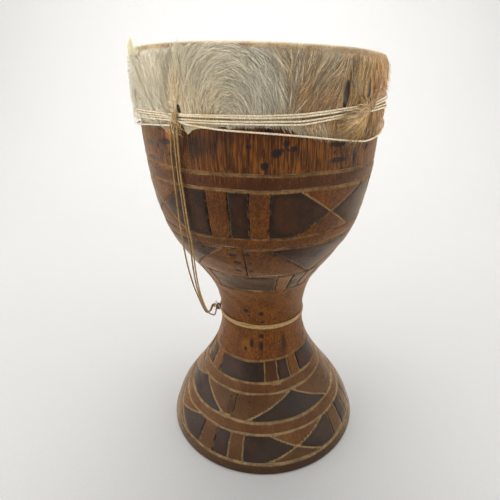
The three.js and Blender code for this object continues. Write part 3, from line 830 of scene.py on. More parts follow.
def woodMaterial():
    c = woodFinish
    n = Nodes("carvedWood")
    place = n.objectPlace()
    fibres = n.noise(n.objectPlace((1, 1, 0.075)), 820, 4, 0.62, 0.4)
    wide = n.noise(n.objectPlace((1, 1, 0.12)), 210, 4, 0.6, 0.3)
    flecks = n.noise(n.objectPlace((1, 1, 0.55)), 880, 3, 0.6, 0.9)
    pits = n.cells(n.objectPlace((1, 1, 0.55)), 900)
    patch = n.noise(place, 34, 4, 0.6)
    broad = n.noise(n.objectPlace((1, 1, 0.4)), 14, 2, 0.5)

    # plain wood: golden fibres or flecks in dark brown, lighter or redder by band
    tint = n.math("ADD", n.number("hue"), n.ramp(patch, 0.3, 0.7, -0.4, 0.4))
    figure = n.blend(n.number("fibrous"), flecks, fibres)
    low = n.ramp(tint, -1.0, 1.0, 0.54, 0.4)
    glint = n.ramp(n.math("SUBTRACT", figure, low), -0.02, 0.18)
    colour = n.mix(n.ramp(wide, 0.34, 0.64), c["deep"], c["brown"])
    colour = n.mix(n.ramp(n.number("fibrous"), 0.2, 1.0, 0.6, 0), colour, c["brown"])
    strength = n.math("MULTIPLY", n.ramp(n.number("fibrous"), 0.2, 1.0, 0.72, 1.0),
                      n.ramp(tint, -0.9, 0.8, 0.3, 0.95))
    colour = n.mix(n.math("MULTIPLY", glint, strength), colour, c["orange"])
    colour = n.mix(n.ramp(tint, -1.0, 0.0, 0.4, 0), colour, c["deep"])
    colour = n.mix(n.ramp(n.number("warm"), 0.05, 0.8, 0, 0.75), colour, c["golden"])
    colour = n.mix(n.ramp(broad, 0.5, 0.75, 0, 0.3), colour, c["worn"])
    colour = n.mix(n.math("MULTIPLY", n.number("dustAndSheen"), n.ramp(patch, 0.3, 0.7, 0.15, 0.5)),
                   colour, c["dust"])

    # dark panels, blacker along their edges
    depth = n.math("ADD", n.number("stained"), n.ramp(flecks, 0.3, 0.7, -0.45, 0.45))
    panel = n.ramp(depth, -0.35, 0.4)
    inner = n.math("MULTIPLY", n.ramp(n.number("stained"), 0.8, 6.5),
                   n.ramp(n.noise(n.objectPlace((1, 1, 0.5)), 46, 4, 0.62), 0.36, 0.66))
    stain = n.mix(inner, c["charcoal"], c["worn"])
    # painted sheen: bluish-grey patches over the panels
    stain = n.mix(n.ramp(n.noise(place, 120, 4, 0.68), 0.5, 0.72, 0, 0.75), stain, c["blueGreySheen"])
    stain = n.mix(n.ramp(flecks, 0.5, 0.68, 0, 0.55), stain, c["brown"])
    stain = n.mix(n.ramp(wide, 0.3, 0.7, 0.35, 0), stain, c["charcoal"])
    # on the lower panels: dust, and a painted bluish sheen for where they face up
    stain = n.mix(n.math("MULTIPLY", n.number("dustAndSheen"), n.ramp(patch, 0.3, 0.7, 0.2, 0.7)), stain,
                  c["blueGreySheen"])
    colour = n.mix(n.math("MULTIPLY", panel, 0.93), colour, stain)

    # smoke, burnt dots
    smoke = n.math("MULTIPLY", n.number("smoky"), n.ramp(patch, 0.25, 0.55, 0.6, 1.0))
    colour = n.mix(n.math("MULTIPLY", smoke, 0.85), colour, c["charcoal"])
    burn = n.ramp(n.math("ADD", n.number("burnt"), n.ramp(flecks, 0.3, 0.7, -0.4, 0.4)),
                  -0.5, 0.6)
    colour = n.mix(n.math("MULTIPLY", burn, 0.9), colour, c["burnt"])

    # cuts: their own pale or dark tone, painted shade along their upper side, and broken edges
    cut = n.math("ADD", n.number("closeness"), n.ramp(flecks, 0.3, 0.7, -0.25, 0.25))
    inCut = n.ramp(cut, 1.1, 0.7)
    side = n.math("ADD", n.number("side"), n.ramp(flecks, 0.3, 0.7, -0.2, 0.2))
    paleness = n.math("ADD", n.number("tone"), n.ramp(n.noise(place, 150, 3, 0.6), 0.35, 0.65,
                                                    -0.3, 0.2), clamp=True)
    paleCut = n.mix(n.math("MULTIPLY", n.number("dustAndSheen"), 0.8), c["cutLight"], c["cutDust"])
    cutColour = n.mix(paleness, c["cutDarkAndShade"], paleCut)
    # painted shade: the upper side of each cut is darkened, standing in for the shadow under its edge
    cutColour = n.mix(n.ramp(side, 0.25, 0.7, 0, 0.8), cutColour, c["cutDarkAndShade"])
    colour = n.mix(n.math("MULTIPLY", inCut, 0.9), colour, cutColour)
    colour = n.mix(n.number("inside"), colour, n.mix(n.ramp(wide, 0.35, 0.65), c["deep"],
                                                     c["bare"]))

    rough = n.ramp(flecks, 0.3, 0.7, 0.46, 0.62)
    rough = n.blend(panel, rough, n.ramp(patch, 0.3, 0.7, 0.36, 0.5))
    rough = n.blend(inCut, rough, 0.8)
    rough = n.blend(n.number("inside"), rough, 0.88)
    relief = n.math("ADD", n.math("MULTIPLY", figure, 1.2), n.math("MULTIPLY", wide, 0.4))
    relief = n.math("ADD", relief, n.math("MULTIPLY", n.ramp(pits, 0.1, 0.35), 0.3))
    soft = n.math("SUBTRACT", 1.0, n.math("MULTIPLY", panel, 0.45))
    bump = n.bump(n.math("MULTIPLY", relief, soft), 0.0006, 0.8)
    return n.finish({"Base Color": colour, "Roughness": rough, "Normal": bump,
                     "Specular IOR Level": 0.12, "Sheen Weight": 0.85, "Sheen Roughness": 0.31,
                     "Sheen Tint": (1.0, 0.76, 0.54, 1.0)})


drumBody = makeWood()
markWood(drumBody)
dress(drumBody, woodMaterial())
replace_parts(drumBody, "drum_shell")
print("wood finished")


# The goatskin

hide = {
    "columns": 360,
    "inside": 105.0,
    "skirtTop": 378,
    "deepestSlit": 1.3,
    # radii of the rings of the playing face
    "face": (12, 26, 42, 58, 72, 84, 92, 97, 100.5, 102.8),
    "edge": 376.8,       # the hair starts below this, and the hide is bare above
    # radius, height and share of the pleats, from the rim down to the twine
    "skirt": [(104.6, 379.0, 0), (105.5, 377.5, 0), (106.0, 374.5, 0.05), (106.1, 368, 0.2),
              (106.1, 357, 0.45), (106.2, 348, 0.9), (106.2, 344, 1.0), (105.9, 339.5, 0.45),
              (105.8, 337, 0.35)],
    "hem": [(-180, 331), (-150, 334), (-120, 329), (-90, 333), (-65, 336), (-50, 335), (-37, 333.2),
            (-30, 331.5), (-28.5, 326), (-24, 330), (-18, 331), (-5, 333), (11, 331.8),
            (15, 328), (23, 325), (31, 323), (45, 318), (56, 317.5), (67, 322), (90, 330),
            (122, 325), (150, 333), (180, 331)],
    "pleats": [(39.5, 2.6, 5.5), (-31.6, 1.4, 5), (-118, 2, 6), (122, 2.4, 5.5), (176, 1.8, 6),
               (28, 0.9, 3.5), (52, 1.0, 4), (-126, 0.9, 4), (131, 1.0, 4), (167, 0.8, 4)],
    # valleys beside a pleat and holes: angle, lower and upper height, half width, depth
    "slits": [(33.4, 341.0, 359.0, 2.6, 1.3), (46.8, 342.0, 361.0, 3.0, 1.3),
              (-30.2, 339.8, 345.6, 2.2, 1.3), (46.5, 321, 334, 3.6, 0.9), (-113, 341, 356, 1.3, 1.1),
              (116, 341, 358, 1.4, 1.2), (128, 342, 353, 1.3, 1.1), (171, 341, 355, 1.3, 1.1)],
}


def hemHeight(angle):
    turned = angleApart(angle, 0)
    a = np.radians(turned)
    ragged = 0.5 * ripple(a * 9, 31, 1, 5, 4) + 0.35 * ripple(a * 40, 32, 1, 4, 4)
    table = np.array(hide["hem"], float)
    return np.interp(turned, table[:, 0], table[:, 1]) + ragged


def pleatRise(angle):
    return sum(rise * np.exp(-(angleApart(angle, at) / spread) ** 2)
               for at, rise, spread in hide["pleats"])


def slitDepth(angle, height):
    # 0 to 1 inside a slit, and how deep it goes
    opened = np.zeros(np.shape(angle))
    for at, low, high, half, deep in hide["slits"]:
        middle, reach = (low + high) / 2, (high - low) / 2
        bend = 0.9 * np.sin((height - low) / 9 + at)
        across = (angleApart(angle, at) * perDegree + bend) / half
        along = np.clip(np.abs(height - middle) / reach, 0, 2)
        gap = np.abs(across / np.sqrt(np.maximum(1 - along ** 2, 0.02)))
        inside = (1 - smoothStep(gap, 0.35, 1.0)) * (along < 1)
        opened = np.maximum(opened, inside * deep / hide["deepestSlit"])
    return opened


def hideRadius(angle, height):
    # outside of the bare hide down the skirt
    table = np.array(hide["skirt"], float)[::-1]
    footRadius, foot, footShare = hide["skirt"][-1]
    below = np.clip((foot - height) / np.maximum(foot - hemHeight(angle), 1), 0, 1)
    radius = np.interp(height, table[:, 1], table[:, 0])
    share = np.interp(height, table[:, 1], table[:, 2])
    radius = np.where(height < foot, footRadius + 0.5 * np.sin(below * math.pi * 0.8), radius)
    share = np.where(height < foot, footShare + 0.4 * np.sin(below * math.pi), share)
    return radius + share * pleatRise(angle)


def leanAt(places):
    # the membrane tilts with the rim, less towards its middle
    angle = angleOf(places)
    share = np.minimum(np.hypot(places[:, 0], places[:, 1]) / 100, 1)
    return share * rimLean(angle, places[:, 2])


# Colour of the hair: angle, height, colour
hairColours = [
    (-78, 360, (246, 234, 208)), (-70, 345, (248, 236, 210)), (-60, 362, (241, 229, 202)),
    (-52, 350, (242, 231, 205)), (-45, 366, (222, 210, 184)), (-38, 350, (226, 211, 178)),
    (-34, 343, (208, 184, 142)), (-36, 362, (208, 197, 170)), (-28, 368, (192, 182, 156)),
    (-24, 352, (182, 171, 145)), (-20, 342, (186, 168, 132)), (-13, 372, (188, 178, 154)),
    (-13, 358, (176, 165, 140)), (-12, 345, (178, 167, 142)), (-4, 366, (192, 183, 161)),
    (-2, 350, (186, 176, 152)), (4, 362, (186, 176, 152)), (6, 344, (178, 166, 138)),
    (11, 370, (152, 130, 94)), (12, 354, (154, 127, 84)), (13, 340, (166, 148, 112)),
    (18, 362, (156, 117, 66)), (20, 348, (161, 121, 66)), (26, 372, (162, 138, 98)),
    (26, 356, (159, 115, 60)), (30, 344, (168, 125, 70)), (36, 368, (170, 140, 94)),
    (39, 352, (166, 127, 74)), (44, 338, (168, 120, 60)), (46, 368, (176, 140, 88)),
    (52, 358, (194, 143, 78)), (60, 350, (194, 142, 77)), (64, 366, (218, 165, 96)),
    (72, 352, (214, 161, 92)), (20, 332, (178, 152, 108)), (34, 328, (160, 122, 68)),
    (46, 324, (132, 96, 54)), (58, 330, (150, 110, 62)), (70, 336, (172, 128, 76)),
    (-60, 334, (242, 233, 212)), (-42, 334, (220, 206, 176)), (-2, 335, (190, 178, 150)),
    (95, 356, (178, 136, 86)), (112, 350, (206, 182, 140)), (128, 362, (226, 212, 182)),
    (140, 344, (190, 160, 116)), (156, 360, (168, 126, 76)), (172, 346, (176, 134, 84)),
    (-172, 364, (206, 188, 152)), (-156, 350, (228, 216, 190)), (-142, 362, (236, 226, 202)),
    (-126, 346, (214, 198, 166)), (-112, 360, (198, 172, 130)), (-98, 350, (228, 216, 188)),
]


def nearBy(points, angle, height, power):
    # shares of the listed points at each place, by distance over the skirt
    table = np.array([p[:2] for p in points], float)
    dx = angleApart(angle[:, None], table[None, :, 0]) * perDegree
    dy = height[:, None] - table[None, :, 1]
    weight = 1 / (dx * dx + dy * dy + 6.0) ** power
    return weight / weight.sum(axis=1, keepdims=True)


def hairColour(angle, height):
    share = nearBy(hairColours, angle, height, 1.6)
    table = np.array([linear(*p[2])[:3] for p in hairColours])
    edge = 1 - 0.3 * np.exp(-(np.maximum(376.5 - height, 0) / 1.6) ** 2)
    return share @ table * edge[:, None]


def makeHide():
    columns = hide["columns"]
    foot = hide["skirt"][-1][1]
    turned = angleApart(np.arange(columns) * 360 / columns, 0)
    a = np.radians(turned)
    hem = hemHeight(turned)
    rings = []

    def addRing(radius, height):
        rings.append(roundPoints(turned, radius + 0 * a, height + 0 * a))

    for radius in hide["face"]:
        sag = -0.35 * (1 - (radius / 103) ** 2)
        wave = 0.12 * ripple(a + radius / 17, 41, 2, 6, 3)
        addRing(radius, drumHeight - 0.25 + sag + wave)
    addRing(*hide["skirt"][0][:2])
    for height in np.arange(hide["skirtTop"], foot, -1.1):
        wave = 0.2 * ripple(a + height / 9, 43, 3, 14, 4) * smoothStep(-height, -376, -368)
        level = height + 0 * a
        addRing(hideRadius(turned, level) + wave - 1.1 * slitDepth(turned, level), level)
    for share in np.linspace(0.08, 1, 8):
        height = foot + (hem - foot) * share
        addRing(hideRadius(turned, height), height)
    flare = hideRadius(turned, hem)
    addRing(flare - 0.5, hem - 0.35)
    addRing(flare - 1.0, hem + 0.1)
    for share in (0.25, 0.6, 1.0):
        addRing(hide["inside"] - 0.05, hem + (352 - hem) * share)
    addRing(102.8, 378.3)
    addRing(60, 378.2)
    count = len(rings)
    vertices = np.vstack(rings + [[[0, 0, drumHeight - 0.6]], [[0, 0, 378.2]]])
    vertices[:, 2] += leanAt(vertices)
    faces = []
    for ring in range(count - 1):
        for s in range(columns):
            b = (s + 1) % columns
            faces.append((ring * columns + s, (ring + 1) * columns + s,
                          (ring + 1) * columns + b, ring * columns + b))
    for s in range(columns):
        b = (s + 1) % columns
        faces.append((count * columns, s, b))
        faces.append((count * columns + 1, (count - 1) * columns + b, (count - 1) * columns + s))
    skin = meshPiece("goatskin", vertices, faces)
    skin.data.polygons.foreach_set("use_smooth", [True] * len(faces))
    places = placesOf(skin)
    radius = np.hypot(places[:, 0], places[:, 1])
    angle = angleOf(places)
    outside = radius > 105.05
    setNumbers(skin, "slit", np.where(outside, slitDepth(angle, places[:, 2]), 0))
    level = places[:, 2] - leanAt(places)
    setNumbers(skin, "face", smoothStep(level, 378.0, 379.6))
    setNumbers(skin, "haired", outside * (1 - smoothStep(level, 375.4, 377.2)))
    setColours(skin, "hairColour", hairColour(angle, np.clip(level, 320, 378)))
    return skin


def hideMaterial():
    n = Nodes("rawhide")
    place = n.objectPlace()
    mottled = n.noise(place, 60, 5, 0.65)
    fine = n.noise(place, 700, 4, 0.7)
    broad = n.noise(place, 16, 3, 0.55)
    colour = n.mix(n.ramp(mottled, 0.36, 0.66), linear(132, 104, 70), linear(180, 156, 118))
    colour = n.mix(n.ramp(fine, 0.5, 0.66, 0, 0.75), colour, linear(104, 70, 40))
    colour = n.mix(n.math("MULTIPLY", n.number("face"), n.ramp(broad, 0.35, 0.65, 0.3, 0.85)),
                   colour, linear(190, 173, 140))
    # under the hair the hide takes the hair's colour, darkened as painted shade between the strands
    under = n.mix(n.ramp(fine, 0.35, 0.65, 0.05, 0.45), n.colour("hairColour"), (0.4, 0.34, 0.27, 1),
                  "MULTIPLY")
    colour = n.mix(n.number("haired"), colour, under)
    # painted shade: slits and the valleys beside the pleats are darkened
    hollow = n.mix(n.ramp(mottled, 0.4, 0.6), linear(78, 58, 44), linear(50, 34, 24))
    colour = n.mix(n.ramp(n.number("slit"), 0.06, 0.4), colour, hollow)
    bump = n.bump(n.math("ADD", mottled, fine), 0.0004, 0.6)
    return n.finish({"Base Color": colour, "Roughness": n.ramp(fine, 0.3, 0.7, 0.5, 0.75),
                     "Normal": bump})


goatskin = makeHide()
dress(goatskin, hideMaterial())
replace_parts(goatskin, "goatskin_head")
print("hide made")


# The hair, laid as it grows. A strand is a tapered blade of three sides.

hair = {
    "strands": 33500,
    "length": (15, 27),
    "width": 0.32,
    "narrowing": [0.8, 1.0, 0.7],
    "levels": 3,
    "stray": 9,          # degrees that a strand leaves the flow, and that it curls at each level
    "curl": 6,
    "top": 377,
    "frontHalf": 84,     # behind this angle the hair is laid more thinly
    "backShare": 0.62,
    "slitLimit": 0.12,
}

# Which way the hair lies: angle and height, then the direction, 0 to the right and 90 up.
# Hair sprays up and over from a whorl under the twine.
whorl = {"angle": -12.4, "height": 334.0, "tall": 1.5, "reach": (7, 13, 19, 25, 30)}
hairFlow = [
    (-80, 370, -22), (-80, 350, -18), (-80, 338, -18), (-68, 371, -20), (-68, 352, -16),
    (-58, 368, -28), (-58, 352, -24), (-49, 369, -46), (-49, 352, -40), (-43, 366, -66),
    (-42, 350, -60), (-62, 334, -26), (-46, 335, -36), (-39, 336, -52), (-39, 368, -92),
    (-38, 352, -94), (-35.5, 371, -100), (-34.5, 358, 96), (-33.5, 350, 94), (-31.5, 366, 84),
    (9, 371, -66), (8, 362, -72), (9, 352, -84), (9, 341, -86), (2, 334, -84),
    (15, 369, -112), (16, 354, -124), (16, 343, -122), (24, 369, -122), (24, 355, -130),
    (24, 344, -136), (30, 368, -124), (29.5, 356, -124), (30, 346, -116), (38, 371, -108),
    (39.5, 356, -92), (41, 346, -92), (36, 337, -125), (20, 334, -74), (27, 331, -82),
    (14, 334, -74), (46, 372, -104), (51, 362, -110), (52, 353, -160), (58, 368, -96),
    (60, 357, -165), (66, 362, -60), (70, 357, -30), (62, 335, -118), (50, 330, -112),
    (38, 329, -130), (74, 336, -60), (76, 368, -84), (54, 345, 16), (62, 348, 12), (71, 346, 12),
    (88, 368, -80), (90, 348, -76), (104, 362, -70), (110, 344, -62), (119, 356, -88),
    (132, 350, -112), (136, 366, -100), (150, 360, -118), (154, 342, -112), (168, 352, -92),
    (178, 362, -86), (-174, 344, -78), (-164, 362, -66), (-150, 352, -58), (-140, 366, -76),
    (-134, 346, -74), (-120, 356, -90), (-108, 350, -112), (-104, 368, -104), (-92, 356, -96),
    (-90, 342, -70), (-92, 334, -74), (90, 334, -80), (120, 331, -90), (150, 335, -96),
    (180, 334, -84), (-150, 335, -82), (-120, 331, -92),
]


def whorlPoints():
    listed = []
    for reach in whorl["reach"]:
        for turn in range(0, 181, 18):
            t = math.radians(turn)
            tall = whorl["tall"]
            dx, dy = reach * math.cos(t), reach * tall * math.sin(t)
            if dy < 42:
                way = math.degrees(math.atan2(-tall * math.cos(t), math.sin(t)))
                lean = -3.5 * math.sin(t) * reach / 30
                listed.append((whorl["angle"] + (dx + lean) / perDegree, whorl["height"] + dy, way))
    return listed


flowPoints = hairFlow + whorlPoints()
flowWays = np.radians([p[2] for p in flowPoints])


def hairWay(angle, height):
    share = nearBy(flowPoints, angle, height, 2.2)
    return np.arctan2(share @ np.sin(flowWays), share @ np.cos(flowWays))


def twineBandHeight(angle):
    table = np.array(binding["middle"], float)
    return np.interp(angleApart(angle, 0), table[:, 0], table[:, 1])


def liftLimit(angle, height):
    # the twine presses the hair down, and lower down it hugs the wood at the right
    gap = np.abs(height - twineBandHeight(angle))
    free = 2.8 * smoothStep(gap, 3.0, 9.0)
    hugged = smoothStep(angle, 48, 62) * smoothStep(-height, -337, -331)
    return 107.0 + free * (1 - hugged) - 0.4 * hugged


binding = {
    "middle": [(-180, 340), (-74, 338.9), (-34, 337.6), (0, 335.6), (15, 335.2), (37, 338.6),
               (60, 340.5), (90, 340.5), (180, 340)],
    "keys": [-180, -74, -34, 0, 15, 37, 45, 60, 69, 90, 130, 180],
    "offsets": [
        [2.4, 2.4, 2.0, 2.8, 3.3, 2.2, 2.0, 4.2, 6.0, 5.5, 3.5, 2.4],
        [0.9, 0.8, 0.9, 1.3, 1.7, 0.9, 0.8, 2.5, 4.0, 3.6, 1.6, 0.9],
        [-0.8, -0.8, -0.9, -1.3, -1.5, -0.8, -0.7, -0.6, -0.4, -0.5, -0.8, -0.8],
        [-2.4, -2.4, -2.3, -2.9, -3.6, -2.4, -2.2, -2.4, -2.6, -2.4, -2.4, -2.4],
    ],
    "knotAngle": -31.6,
    "radius": 108.05,
    "low": [(-31.6, 334), (-14, 329.8), (2, 327.2), (15, 324.6), (37, 318.6), (46, 316.4),
            (59, 318.8), (68, 322.6), (95, 330), (180, 331.5), (250, 327.5), (286, 328.2),
            (313, 331.2), (328.4, 332)],
}


def growHair(angle, height, length, seed):
    # lays strands along the flow from their roots, and gives back rows of places
    draw = np.random.default_rng(seed)
    count = len(angle)
    levels = hair["levels"]
    across = angle * perDegree
    locks = (5 * ripple(across / 4 + height / 11, 91, 0.5, 1.5, 4)
             + 5 * ripple(across / 1.6 - height / 14, 92, 0.5, 1.5, 4))
    astray = np.radians(draw.normal(0, hair["stray"], count) + locks)
    curl = np.radians(draw.normal(0, hair["curl"], count))

    def lay(length):
        a, h = angle.copy(), height.copy()
        run = [(a, h)]
        for level in range(levels):
            turn = hairWay(a, h) + astray + curl * level
            a = a + np.cos(turn) * length / levels / perDegree
            h = h + np.sin(turn) * length / levels
            run.append((a, h))
        return run

    # strands end a little below the hem, and below the rim
    endAngle, endHeight = lay(length)[-1]
    drop = 3.4 + 3.2 * np.exp(-(angleApart(endAngle, -47) / 8) ** 2)
    drop = drop + 2.6 * np.exp(-(angleApart(endAngle, 26) / 9) ** 2)
    floor = hemHeight(endAngle) - drop * draw.uniform(0.1, 1, count)
    fall = np.maximum(height - endHeight, 1e-3)
    short = np.where(endHeight < floor, np.clip((height - floor) / fall, 0.12, 1), 1)
    rise = np.maximum(endHeight - height, 1e-3)
    tall = np.where(endHeight > hair["top"], np.clip((hair["top"] - height) / rise, 0.2, 1), 1)
    run = lay(length * np.minimum(short, tall))

    lifts = draw.uniform(0.35, 1.15, count)
    left = 1 - smoothStep(np.abs(angle + 72), 8, 22)
    lifts = lifts * (1 + (2.0 + 1.5 * left) * (draw.random(count) < 0.03 + 0.06 * left))
    rows = []
    for level, (a, h) in enumerate(run):
        up = np.interp(level / levels, [0, 0.3, 0.6, 1], [0, 0.7, 1.0, 1.4]) * lifts
        radius = hideRadius(a, np.clip(h, 300, hide["skirtTop"])) + up
        radius = np.minimum(radius, liftLimit(a, h) + 0.25 * draw.random(count))
        rows.append(roundPoints(a, radius, h + rimLean(a, h)))
    return np.stack(rows, axis=1)


def strandPiece(name, rows, colours, width):
    # closed blades from rows of places, one row for each strand
    count, levels = rows.shape[:2]
    along = np.gradient(rows, axis=1)
    along /= np.linalg.norm(along, axis=2, keepdims=True) + 1e-9
    outward = rows * [1, 1, 0]
    outward /= np.linalg.norm(outward, axis=2, keepdims=True) + 1e-9
    side = np.cross(along, outward)
    side /= np.linalg.norm(side, axis=2, keepdims=True) + 1e-9
    outward = np.cross(side, along)
    narrowing = np.array(hair["narrowing"])[None, :, None]
    half = width[:, None, None] / 2 * narrowing
    body = rows[:, :-1]
    ring = np.stack([body + side[:, :-1] * half,
                     body + outward[:, :-1] * half * 0.9,
                     body - side[:, :-1] * half], axis=2)
    vertices = np.concatenate([ring.reshape(count, -1, 3), rows[:, -1:]], axis=1)
    perStrand = vertices.shape[1]
    pattern = [(0, 1, 2)]
    for level in range(levels - 2):
        for s in range(3):
            a, b = level * 3 + s, level * 3 + (s + 1) % 3
            pattern.append((a, a + 3, b + 3, b))
    last = (levels - 2) * 3
    for s in range(3):
        pattern.append((last + s, perStrand - 1, last + (s + 1) % 3))
    starts = (np.arange(count) * perStrand).tolist()
    faces = [tuple(start + v for v in face) for start in starts for face in pattern]
    piece = meshPiece(name, vertices.reshape(-1, 3), faces)
    piece.data.polygons.foreach_set("use_smooth", [True] * len(faces))
    setColours(piece, "hairColour", np.repeat(colours, perStrand, axis=0))
    tip = np.concatenate([np.repeat(np.arange(levels - 1) / (levels - 1), 3), [1.0]])
    setNumbers(piece, "tip", np.tile(tip, count))
    return piece


def hairMaterial():
    n = Nodes("goatHair")
    place = n.objectPlace()
    colour = n.colour("hairColour")
    # painted shade: each strand darkens towards its root, where it lies under the other hairs
    root = n.ramp(n.number("tip"), 0.0, 0.5, 0.86, 1.0)
    shade = n.add("ShaderNodeCombineColor", {0: root, 1: root, 2: root})
    colour = n.mix(1.0, colour, shade, "MULTIPLY")
    fine = n.noise(place, 1500, 2, 0.5)
    return n.finish({"Base Color": colour, "Roughness": n.ramp(fine, 0.3, 0.7, 0.42, 0.6),
                     "Specular IOR Level": 0.25, "Sheen Weight": 0.45, "Sheen Roughness": 0.5,
                     "Sheen Tint": (1.0, 0.96, 0.88, 1.0)})


def scatterRoots(count, seed):
    draw = np.random.default_rng(seed)
    angle = draw.uniform(-180, 180, count * 2)
    share = np.where(np.abs(angle) < hair["frontHalf"], 1.0, hair["backShare"])
    keep = draw.random(count * 2) < share
    angle = angle[keep][:count]
    low = hemHeight(angle) - 0.5
    high = hide["edge"] + 0.8 * ripple(np.radians(angle) * 8, 51, 1, 6, 4)
    high -= draw.exponential(0.8, len(angle))
    share = draw.random(len(angle)) ** 0.9      # a little denser near the rim
    return angle, low + (high - low) * share


def clearOfSlits(rows):
    # true for strands that stay out of the slits
    angle = angleOf(rows)
    height = rows[:, :, 2]
    deepest = np.zeros(len(rows))
    for share in (0.0, 0.25, 0.5, 0.75, 1.0):
        for level in range(rows.shape[1] - 1):
            a = angle[:, level] * (1 - share) + angle[:, level + 1] * share
            h = height[:, level] * (1 - share) + height[:, level + 1] * share
            deepest = np.maximum(deepest, slitDepth(a, h))
    return deepest < hair["slitLimit"]


def makeHair():
    draw = np.random.default_rng(11)
    angle, height = scatterRoots(hair["strands"], 10)
    count = len(angle)
    length = draw.uniform(*hair["length"], count)
    curly = smoothStep(angle, 46, 56) * smoothStep(-angle, -96, -84)
    length = length * (1 - 0.45 * curly)
    rows = growHair(angle, height, length, seed=12)
    keep = clearOfSlits(rows)
    rows, angle, height = rows[keep], angle[keep], height[keep]
    count = len(angle)
    mixed = smoothStep(angle, -48, 16) * smoothStep(-angle, -150, -110)
    colours = hairColour(angle, height) * (1.45 - 0.07 * mixed[:, None])
    tone = np.exp(draw.normal(0, 1, count) * (0.2 + 0.19 * mixed))[:, None]
    clump = np.exp(0.14 * ripple(angle * 1.9 + height * 0.7, 61, 0.4, 1.6, 5))[:, None]
    colours = colours * tone * clump
    white = (draw.random(count) < 0.15 + 0.2 * (1 - mixed))[:, None]
    colours = np.where(white, colours * 0.45 + np.array(linear(252, 243, 218)[:3]) * 0.6, colours)
    dark = (draw.random(count) < 0.04 + 0.26 * mixed)[:, None]
    colours = np.where(dark, colours * 0.42, colours)
    colours *= np.minimum(1, 0.95 / colours.max(axis=1, keepdims=True))
    width = hair["width"] * draw.uniform(0.7, 1.25, count)
    order = np.argsort(angle)
    material = hairMaterial()
    for name, part in zip(("hair_left", "hair_front", "hair_right"), np.array_split(order, 3)):
        piece = strandPiece(name, rows[part], colours[part], width[part])
        dress(piece, material)
    print("hair laid,", count, "strands")
    return material


tufts = {
    # the tuft that stands up at the left rim
    "standing": {"count": 520, "angle": -64, "spread": 4.6, "height": (372, 377.5),
                 "reach": (6, 13.5), "colour": (250, 240, 204)},
    # the golden lock pulled over the twine at the right: hairs, root, way, reach and sweep
    "lock": [(380, (44.6, 339.4), (108, 190), (6, 13), 22),      # up and to the left
             (600, (43.2, 337.2), (186, 256), (12, 30), -10),    # down and left, over the hem
             (120, (45.5, 340.4), (5, 60), (6, 12), 10)],        # short ends to the right
    # the lock's colours; the last, dark one is painted shade, hairs that stand in for the shadows
    # within the lock
    "lockColoursAndShade": [(212, 172, 108), (184, 138, 76), (232, 202, 146), (96, 64, 32)],
    "lockShares": [0.3, 0.27, 0.15, 0.28],
    # loose hairs over the twine at the left, and wisps that stand out at the left edge
    "loose": {"count": 70, "angle": (-78, -36), "reach": (8, 16), "colour": (250, 242, 222)},
    "wisps": {"count": 900, "angle": (-112, -64), "height": (344, 375), "reach": (9, 17),
              "colour": (252, 246, 228)},
}


def plainColour(listed):
    return np.array(linear(*listed)[:3])


def hideAt(angle, height):
    return float(hideRadius(np.array(angle), np.array(height)))


def layHair(a, h, turn, reach, placeAt, bend=0.0):
    # one hair from its root; placeAt gives how far out and how much higher it lies on its way
    strand = []
    levels = hair["levels"]
    for level in range(levels + 1):
        radius, rise = placeAt(a, h, level / levels)
        strand.append(roundPoints(np.array(a), radius, np.array(h + rise)))
        turn += bend / levels
        a += math.cos(turn) * reach / levels / perDegree
        h += math.sin(turn) * reach / levels
    return strand


def standingTuft(draw):
    tuft = tufts["standing"]
    levels = hair["levels"]
    for _ in range(tuft["count"]):
        angle, height = draw.normal(tuft["angle"], tuft["spread"]), draw.uniform(*tuft["height"])
        middle = math.exp(-((angle - tuft["angle"]) / 5) ** 2)
        reach = draw.uniform(*tuft["reach"]) * (0.4 + 0.6 * middle)
        base = hideAt(angle, height) + 0.3
        lean = draw.normal(-0.6, 1.4)
        out = draw.uniform(0.0, 2.4)
        strand = []
        for level in range(levels + 1):
            s = level / levels
            place = roundPoints(np.array(angle + lean * s * s), base + out * math.sin(s * 2.4),
                                np.array(height + reach * s))
            place[2] += float(rimLean(angle, tuft["height"][0]))
            strand.append(place)
        yield strand, plainColour(tuft["colour"]) * draw.uniform(0.8, 1.1)


def goldenLock(draw):
    golden = [plainColour(colour) for colour in tufts["lockColoursAndShade"]]
    for count, root, ways, reaches, sweep in tufts["lock"]:
        for _ in range(count):
            way, reach = draw.uniform(*ways), draw.uniform(*reaches)
            a, h = root[0] + draw.normal(0, 1.1), root[1] + draw.normal(0, 1.6)
            bend = math.radians(draw.normal(0, 12) + sweep)
            crown = draw.uniform(0.8, 3.4)

            def overTwine(a, h, s):
                fall = float(smoothStep(-h, -326, -320))
                base = max(hideAt(a, max(h, 318.0)), 107.6) * (1 - fall) + 106.4 * fall
                return min(base + 0.6 + crown * math.sin(math.pi * (0.25 + 0.6 * s)), 110.8), 0

            strand = layHair(a, h, math.radians(way), reach, overTwine, bend)
            shade = golden[draw.choice(4, p=tufts["lockShares"])]
            yield strand, shade * draw.uniform(0.75, 1.2)


def looseHairs(draw):
    loose = tufts["loose"]

    def archAt(a, h, s):
        return 107.4 + 2.6 * math.sin(math.pi * (0.15 + 0.7 * s)), 0

    for _ in range(loose["count"]):
        a, h = draw.uniform(*loose["angle"]), 341 + draw.normal(0, 2.5)
        turn = math.radians(draw.normal(-52, 16))
        strand = layHair(a, h, turn, draw.uniform(*loose["reach"]), archAt)
        yield strand, plainColour(loose["colour"]) * draw.uniform(0.7, 1.05)


